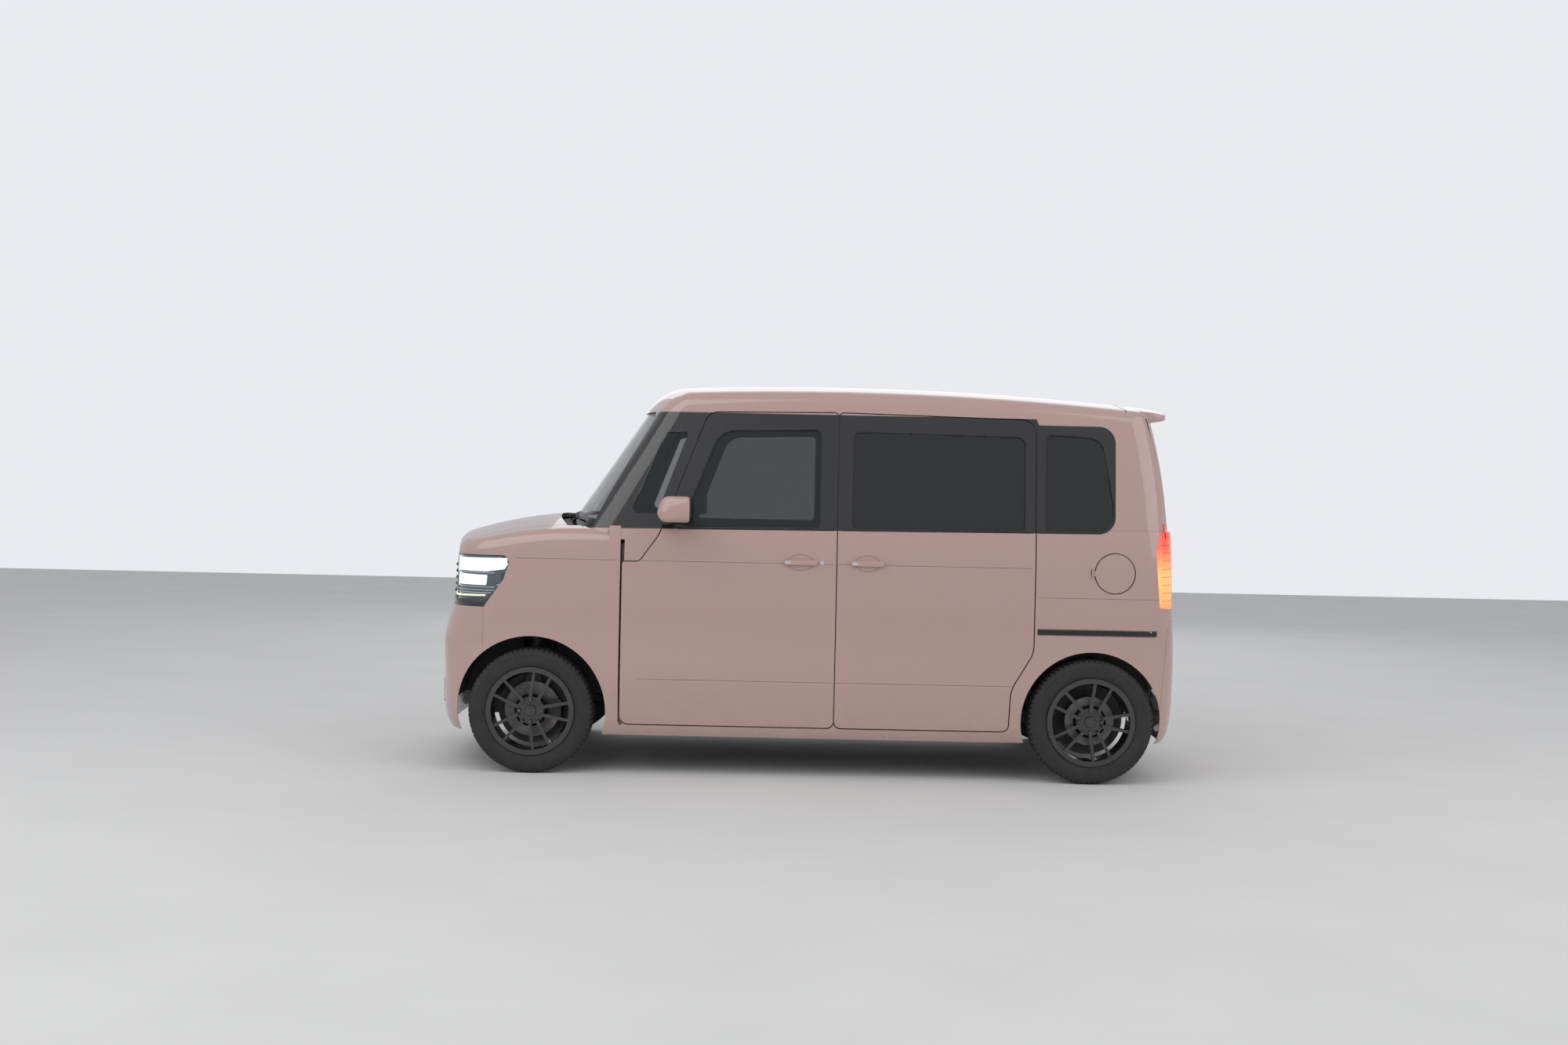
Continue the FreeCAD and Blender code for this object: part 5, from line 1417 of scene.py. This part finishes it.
@dataclass
class Seat:
    """The pads of one pair of seats: crowned, seamed and swollen by a cloth simulation."""

    name: str
    node: str
    x: float
    z: float
    side: float
    width: float
    cushion: float
    back: float
    lean: float
    voxel: float = 0.010
    cap: float = 0.012
    pressure: float = 4.0
    frames: int = 20
    stations: int = 18
    seam_width: float = 0.006
    seam_depth: float = 0.007
    channel_depth: float = 0.005

    def outline(self, part: str) -> list[Flat]:
        """The side outline of a pad, a little smaller than the solid it stands for."""
        x, z, c, b, n = self.x, self.z, self.cushion, self.back, self.lean
        corners = {
            "cushion": ((x + 0.008, z + 0.008, 0.05), (x + 0.012, z + 0.158, 0.07),
                        (x + c - 0.05, z + 0.140, 0.05),
                        (x + c - 0.045, z + 0.008, 0.03)),
            "back": ((x + c - 0.030, z + 0.080, 0.03), (x + c - 0.024 + n, z + b - 0.008, 0.05),
                     (x + c + 0.066 + n, z + b - 0.008, 0.05), (x + c + 0.070, z + 0.060, 0.04)),
            "head": ((x + c + n - 0.002, z + b + 0.043, 0.03), (x + c + n + 0.008, z + b + 0.180, 0.035),
                     (x + c + n + 0.080, z + b + 0.180, 0.035), (x + c + n + 0.064, z + b + 0.043, 0.03)),
        }[part]
        return rounded(corners, 6)

    def pad(self, part: str) -> bpy.types.Object:
        """A closed form whose outline draws in towards both sides."""
        outline = self.outline(part)
        half = (0.122 if part == "head" else self.width / 2 - 0.010)
        middle = Vector((sum(p[0] for p in outline), 0, sum(p[1] for p in outline))) / len(outline)
        rings = []
        for k in range(self.stations + 1):
            t = -1 + 2 * k / self.stations
            draw = 0.76 + 0.24 * (1 - abs(t) ** 5) ** 0.5
            y = half * math.copysign(abs(t) ** 0.85, t)
            rings.append([Vector((middle.x + (u - middle.x) * draw, y, middle.z + (v - middle.z) * draw))
                          for u, v in outline])
        return lofted(f"{self.name}_{part}_left", rings)

    def swell(self, pad: bpy.types.Object) -> None:
        """Remeshes the pad, blows it up as cloth and keeps each point's move under the cap."""
        mesher = pad.modifiers.new("voxels", "REMESH")
        mesher.mode = "VOXEL"
        mesher.voxel_size = self.voxel
        baked(pad)
        rest = [v.co.copy() for v in pad.data.vertices]
        cloth = pad.modifiers.new("cloth", "CLOTH")
        cloth.settings.quality = 4
        cloth.settings.mass = 0.3
        cloth.settings.use_pressure = True
        cloth.settings.uniform_pressure_force = self.pressure
        cloth.settings.effector_weights.gravity = 0.0
        for frame in range(1, self.frames + 1):
            bpy.context.scene.frame_set(frame)
        seen = pad.evaluated_get(bpy.context.evaluated_depsgraph_get())
        moved = [v.co.copy() for v in seen.data.vertices]
        pad.modifiers.clear()
        bpy.context.scene.frame_set(1)
        for vert, before, after in zip(pad.data.vertices, rest, moved):
            move = after - before
            vert.co = before + move * min(1.0, self.cap / max(move.length, 1e-9))

    def seams(self, pad: bpy.types.Object, part: str) -> None:
        """Presses the sewn channels into the pad: two along it, and some across its middle."""
        half = self.width / 2
        lines = () if part == "head" else (-0.56 * half, 0.56 * half)
        rows = {"cushion": [self.x + 0.12 + 0.10 * k for k in range(3)],
                "back": [self.z + 0.22 + 0.11 * k for k in range(3)], "head": []}[part]
        normals = [v.normal.copy() for v in pad.data.vertices]
        for vert, normal in zip(pad.data.vertices, normals):
            co = vert.co
            depth = sum(self.seam_depth * math.exp(-((co.y - y) / self.seam_width) ** 2) for y in lines)
            if lines and abs(co.y) < abs(lines[0]):
                along = co.x if part == "cushion" else co.z
                depth += sum(self.channel_depth * math.exp(-((along - r) / self.seam_width) ** 2)
                             for r in rows)
            vert.co = co - normal * depth

    def build(self) -> None:
        """Makes and fits the pads and the stays of the head rest."""
        pads = []
        for part in ("cushion", "back", "head"):
            pad = self.pad(part)
            self.swell(pad)
            self.seams(pad, part)
            smoother = pad.modifiers.new("smooth", "SUBSURF")
            smoother.levels = smoother.render_levels = 1
            baked(pad)
            pad.data.transform(Matrix.Translation((0, -self.side, 0)))
            pad.data.shade_smooth()
            pads += fit_pair(pad, Finish.SEAT if part != "head" else Finish.BLACK_CLOTH, BODY)
        for pad in pads:
            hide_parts(self.node)
        x, z, top = self.x + self.cushion + self.lean, self.z + self.back, 0.075
        for k, shift in enumerate((-0.06, 0.06)):
            stay = tube(f"{self.name}_stay_left_{k}", [(x + 0.026, -self.side + shift, z - 0.05),
                                                       (x + 0.034, -self.side + shift, z + top)], 0.006, 12)
            fit_pair(stay, Finish.CHROME, BODY)


@dataclass
class SeatBase:
    """The frame that carries one pair of seats down to the floor."""

    name: str
    node: str
    low: Point
    high: Point

    def build(self) -> None:
        """Makes and fits a pair of waisted frames on rails."""
        (x0, y0, z0), (x1, y1, z1) = self.low, self.high
        waist = ((x0, z0, 0.004), (x0 + 0.012, z0 + 0.03, 0.01), (x0 + 0.03, z1, 0.02), (x1 - 0.03, z1, 0.02),
                 (x1 - 0.012, z0 + 0.03, 0.01), (x1, z0, 0.004))
        block = plate(f"{self.name}_frame_left", rounded(waist, 4), View.LEFT, y0 + 0.02, y1 - 0.02, 0.004)
        for piece in fit_pair(block, Finish.PLASTIC, BODY):
            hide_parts(self.node)
        rails = [plate("rail", oblong(x0 - 0.02, x1 + 0.02, z0, z0 + 0.022, 0.006), View.LEFT, y, y + 0.030,
                       0.002)
                 for y in (y0 + 0.01, y1 - 0.04)]
        fit_pair(joined(f"{self.name}_rails_left", rails), Finish.IRON, BODY)


@dataclass
class Dashboard:
    """Instrument cowl, centre screen, vents, glove box, lever and the wheel's hub pad."""

    nodes: dict[str, bpy.types.Object]
    driver: float = 0.330

    def build(self) -> None:
        """Makes and fits the pieces."""
        d = self.driver
        hood = rounded(((-0.84, 1.066, 0.01), (-0.82, 1.118, 0.03), (-0.735, 1.112, 0.02),
                        (-0.742, 1.064, 0.01)))
        fit(plate("instrument_hood", hood, View.LEFT, d - 0.14, d + 0.14, 0.008), Finish.TRIM)
        dial = plate("instrument_dial", oblong(d - 0.115, d + 0.115, 1.076, 1.108, 0.012), View.REAR, 0.7345,
                     0.7375, 0.001)
        fit(dial, Finish.DIAL)
        skin = Skin(self.nodes["dashboard"])
        for name, outline, lift, thick, finish in (
            ("screen_frame", oblong(-0.135, 0.135, 0.905, 1.030, 0.012), 0.010, 0.020, Finish.GLOSS_BLACK),
            ("screen_glass", oblong(-0.118, 0.118, 0.925, 1.018, 0.006), 0.0115, 0.003, Finish.DIAL),
            ("climate_panel", oblong(-0.110, 0.110, 0.815, 0.880, 0.010), 0.006, 0.012, Finish.PLASTIC),
            ("glove_box", oblong(-0.560, -0.190, 0.740, 0.900, 0.020), 0.004, 0.010, Finish.TRIM),
            ("glove_latch", oblong(-0.410, -0.340, 0.868, 0.884, 0.006), 0.007, 0.006, Finish.PLASTIC),
        ):
            piece = skin.patch(name, outline, View.REAR, lift, thick, 0.02)
            fit(piece, finish)
        for k, y in enumerate((-0.520, -0.200, 0.190, 0.530)):
            frame = skin.strip(f"vent_frame_{k}", oblong(y - 0.045, y + 0.045, 0.945, 1.000, 0.012),
                               View.REAR, 0.008,
                               0.008, closed=True, step=0.01)
            fit(frame, Finish.PLASTIC)
            place = skin.meet(View.REAR, y, 0.955)[0].x
            slat = plate(f"vent_slats_{k}", oblong(y - 0.040, y + 0.040, 0.952, 0.9545), View.REAR,
                         -place - 0.006,
                         -place + 0.006, 0.0004)
            fit(repeated(slat, 5, Finish.PLASTIC, step=(0.0, 0.0, 0.0095)), Finish.PLASTIC)
        lever = tube("gear_lever", smooth_path([(-0.715, 0.14, 0.800), (-0.680, 0.14, 0.840),
                                                (-0.655, 0.14, 0.900)]), 0.009)
        fit(lever, Finish.PLASTIC)
        knob = lathe("gear_knob",
                     [(0.0, -0.024), (0.014, -0.022), (0.021, -0.010), (0.021, 0.010), (0.014, 0.022),
                                   (0.0, 0.024)], (-0.650, 0.14, 0.915), 24)
        fit(knob, Finish.GLOSS_BLACK)
        self.hub()

    def hub(self) -> None:
        """The pad in the middle of the steering wheel."""
        axis = Vector((320, 0, 125)).normalized()
        profile = [(0.062, -0.016), (0.068, -0.006), (0.064, 0.006), (0.045, 0.014), (0.020, 0.017),
                   (0.0, 0.0175),
                   (0.0, -0.016)]
        pad = lathe("wheel_hub_pad", profile, (0, 0, 0), 48)
        turn = Vector((0, 1, 0)).rotation_difference(axis).to_matrix().to_4x4()
        pad.data.transform(Matrix.Translation((-0.512, self.driver, 0.951)) @ turn)
        fit(pad, Finish.PLASTIC, "hand_wheel")


@dataclass
class DoorCards:
    """Trim cards, arm rests and pulls inside the front doors."""

    nodes: dict[str, bpy.types.Object]

    def build(self) -> None:
        """Makes and fits the pieces."""
        skin = Skin(self.nodes["front_door_left"])
        card = rounded(((-0.640, 0.330, 0.05), (-0.640, 0.950, 0.08), (-0.560, 1.050, 0.06),
                        (0.070, 1.050, 0.05),
                        (0.070, 0.330, 0.05)))
        for name, outline, lift, thick, finish in (
            ("door_card_left", card, 0.003, 0.004, Finish.TRIM),
            ("door_insert_left", oblong(-0.46, 0.02, 0.78, 0.98, 0.05), 0.006, 0.004, Finish.BLACK_CLOTH),
            ("door_rest_left", oblong(-0.46, 0.00, 0.665, 0.725, 0.028), 0.034, 0.034, Finish.TRIM),
            ("door_bin_left", oblong(-0.58, -0.06, 0.360, 0.500, 0.04), 0.026, 0.026, Finish.TRIM),
            ("door_switches_left", oblong(-0.44, -0.33, 0.727, 0.737, 0.003), 0.030, 0.020, Finish.PLASTIC),
            ("door_release_left", oblong(-0.50, -0.42, 0.800, 0.830, 0.012), 0.012, 0.010, Finish.CHROME),
        ):
            fit_pair(skin.patch(name, outline, View.CABIN_LEFT, lift, thick, 0.03), finish, DOORS)


@dataclass
class EngineBay:
    """The cover, battery and duct that show when the bonnet is up."""

    def build(self) -> None:
        """Makes and fits the pieces."""
        cover = plate("engine_cover", oblong(-1.44, -1.16, -0.22, 0.22, 0.03), View.TOP, -0.700, -0.664,
                      0.008)
        fit(cover, Finish.PLASTIC)
        rib = plate("engine_cover_ribs", oblong(-1.42, -1.18, -0.165, -0.145, 0.006), View.TOP, -0.708,
                    -0.698, 0.003)
        fit(repeated(rib, 7, Finish.PLASTIC, step=(0.0, 0.052, 0.0)), Finish.PLASTIC)
        battery = plate("battery", oblong(-1.44, -1.25, 0.225, 0.298, 0.006), View.TOP, -0.800, -0.664, 0.004)
        fit(battery, Finish.BATTERY)
        for k, y in enumerate((0.240, 0.282)):
            post = tube(f"battery_post_{k}", [(-1.40, y, 0.796), (-1.40, y, 0.806), (-1.40, y, 0.818)],
                        0.0085, 16)
            fit(post, Finish.CHROME, "body")
        duct = smooth_path([(-1.30, -0.26, 0.690), (-1.42, -0.26, 0.700), (-1.50, -0.20, 0.775)])
        fit(tube("air_duct", duct, 0.028, 20), Finish.PLASTIC)


# Studio


@dataclass
class Studio:
    """Pale floor, plain light and a camera where the photographer stood."""

    camera_place: Point = (-0.099, -8.74, 1.35)
    focal_px: float = 2285.0
    frame_px: tuple[int, int] = (2000, 1333)
    pitch: float = 1.42
    roll: float = 1.2
    floor_half: float = 14.0
    floor_colour: Colour = (0.72, 0.72, 0.71)
    world_colour: Colour = (0.95, 0.96, 1.0)
    world_strength: float = 0.56
    backdrop_strength: float = 0.86
    lamp_aim: Point = (0.0, 0.0, 0.8)
    lamps: tuple[tuple[str, Point, float, float], ...] = (
        ("key", (-4.5, -5.5, 5.6), 8.4, 270.0),
        ("fill", (5.8, -4.2, 4.8), 7.0, 150.0),
        ("back", (1.0, 6.4, 5.2), 7.4, 90.0),
    )

    def camera(self) -> None:
        """Sets the camera level with the photograph's own tilt and roll."""
        data = bpy.data.cameras.new("camera")
        data.sensor_fit = "HORIZONTAL"
        data.sensor_width = 36.0
        data.lens = 36.0 * self.focal_px / self.frame_px[0]
        data.clip_end = 200.0
        holder = bpy.data.objects.new("camera", data)
        turn = Matrix.Rotation(math.radians(90.0 - self.pitch), 4, "X") @ Matrix.Rotation(
            math.radians(self.roll), 4, "Z")
        holder.matrix_world = Matrix.Translation(self.camera_place) @ turn
        bpy.context.scene.collection.objects.link(holder)
        bpy.context.scene.camera = holder

    def floor(self) -> None:
        """Lays the floor."""
        half = self.floor_half
        mesh = bpy.data.meshes.new("floor")
        mesh.from_pydata([(-half, -half, 0), (half, -half, 0), (half, half, 0), (-half, half, 0)], [],
                         [(0, 1, 2, 3)])
        slab = bpy.data.objects.new("floor", mesh)
        bpy.context.scene.collection.objects.link(slab)
        sheet = Sheet("studio_floor")
        tone = sheet.spread(sheet.noise(1.5, 3.0), 0.3, 0.7, 0.0, 1.0)
        sheet.set(Base_Color=sheet.blend(tone, self.floor_colour, tuple(0.96 * c for c in self.floor_colour)),
                  Roughness=0.85)
        mesh.materials.append(sheet.material)

    def lamp(self, name: str, place: Point, size: float, watts: float) -> None:
        """Hangs one soft square lamp that faces the car's middle."""
        data = bpy.data.lights.new(name, "AREA")
        data.size = size
        data.energy = watts
        holder = bpy.data.objects.new(name, data)
        holder.location = place
        holder.rotation_euler = (Vector(self.lamp_aim) - Vector(place)).to_track_quat("-Z", "Y").to_euler()
        bpy.context.scene.collection.objects.link(holder)

    def light(self) -> None:
        """Sets the world, brighter where the camera sees it than where it lights, and the soft lamps."""
        world = bpy.data.worlds.new("studio")
        bpy.context.scene.world = world
        world.use_nodes = True
        tree = world.node_tree
        back = tree.nodes["Background"]
        path = tree.nodes.new("ShaderNodeLightPath")
        seen = tree.nodes.new("ShaderNodeMath")
        seen.operation = "MAXIMUM"
        tree.links.new(path.outputs["Is Camera Ray"], seen.inputs[0])
        tree.links.new(path.outputs["Is Transmission Ray"], seen.inputs[1])
        strength = tree.nodes.new("ShaderNodeMapRange")
        tree.links.new(seen.outputs[0], strength.inputs["Value"])
        strength.inputs["To Min"].default_value = self.world_strength
        strength.inputs["To Max"].default_value = self.backdrop_strength
        tree.links.new(strength.outputs[0], back.inputs["Strength"])
        back.inputs["Color"].default_value = (*self.world_colour, 1.0)
        for name, place, size, watts in self.lamps:
            self.lamp(name, place, size, watts)
        bpy.context.scene.view_settings.view_transform = "Standard"

    def build(self) -> None:
        """Makes the whole studio."""
        self.camera()
        self.floor()
        self.light()


# Assembly


def paint_nodes(nodes: dict[str, bpy.types.Object]) -> None:
    """Gives every carried-over node its finish."""
    for finish, names in NODE_FINISH.items():
        for name in names:
            dress(nodes[name], finish)


def build_running_gear() -> None:
    """The wheels and the springs."""
    for end, x in (("front", -1.2225), ("rear", 1.2975)):
        for hand, y in (("left", -0.645), ("right", 0.645)):
            RoadWheel(end, hand, x, y).build()
    Springs().build()


def build_cabin(nodes: dict[str, bpy.types.Object]) -> None:
    """The seats, the dashboard and the door trim."""
    Seat("front_seat", "front_seats", -0.430, 0.500, 0.330, 0.470, 0.480, 0.620, 0.100).build()
    Seat("rear_seat", "rear_seat", 0.560, 0.540, 0.300, 0.580, 0.440, 0.560, 0.110).build()
    SeatBase("front_seat", "front_seats", (-0.380, -0.520, 0.3303), (0.0, -0.140, 0.512)).build()
    SeatBase("rear_seat", "rear_seat", (0.640, -0.580, 0.4603), (0.990, -0.020, 0.552)).build()
    Dashboard(nodes).build()
    DoorCards(nodes).build()


def main() -> None:
    """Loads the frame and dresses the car."""
    logging.basicConfig(level=logging.INFO, format="%(name)s: %(message)s")
    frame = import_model()
    nodes = frame["nodes"]
    paint_nodes(nodes)
    Studio().build()
    build_running_gear()
    for part in (HeadLamps, FrontFace, TailEnd, Wipers, BodySides):
        part(nodes).build()
    for part in (Spoiler, Mirrors, EngineBay):
        part().build()
    build_cabin(nodes)


if __name__ == "__main__":
    main()
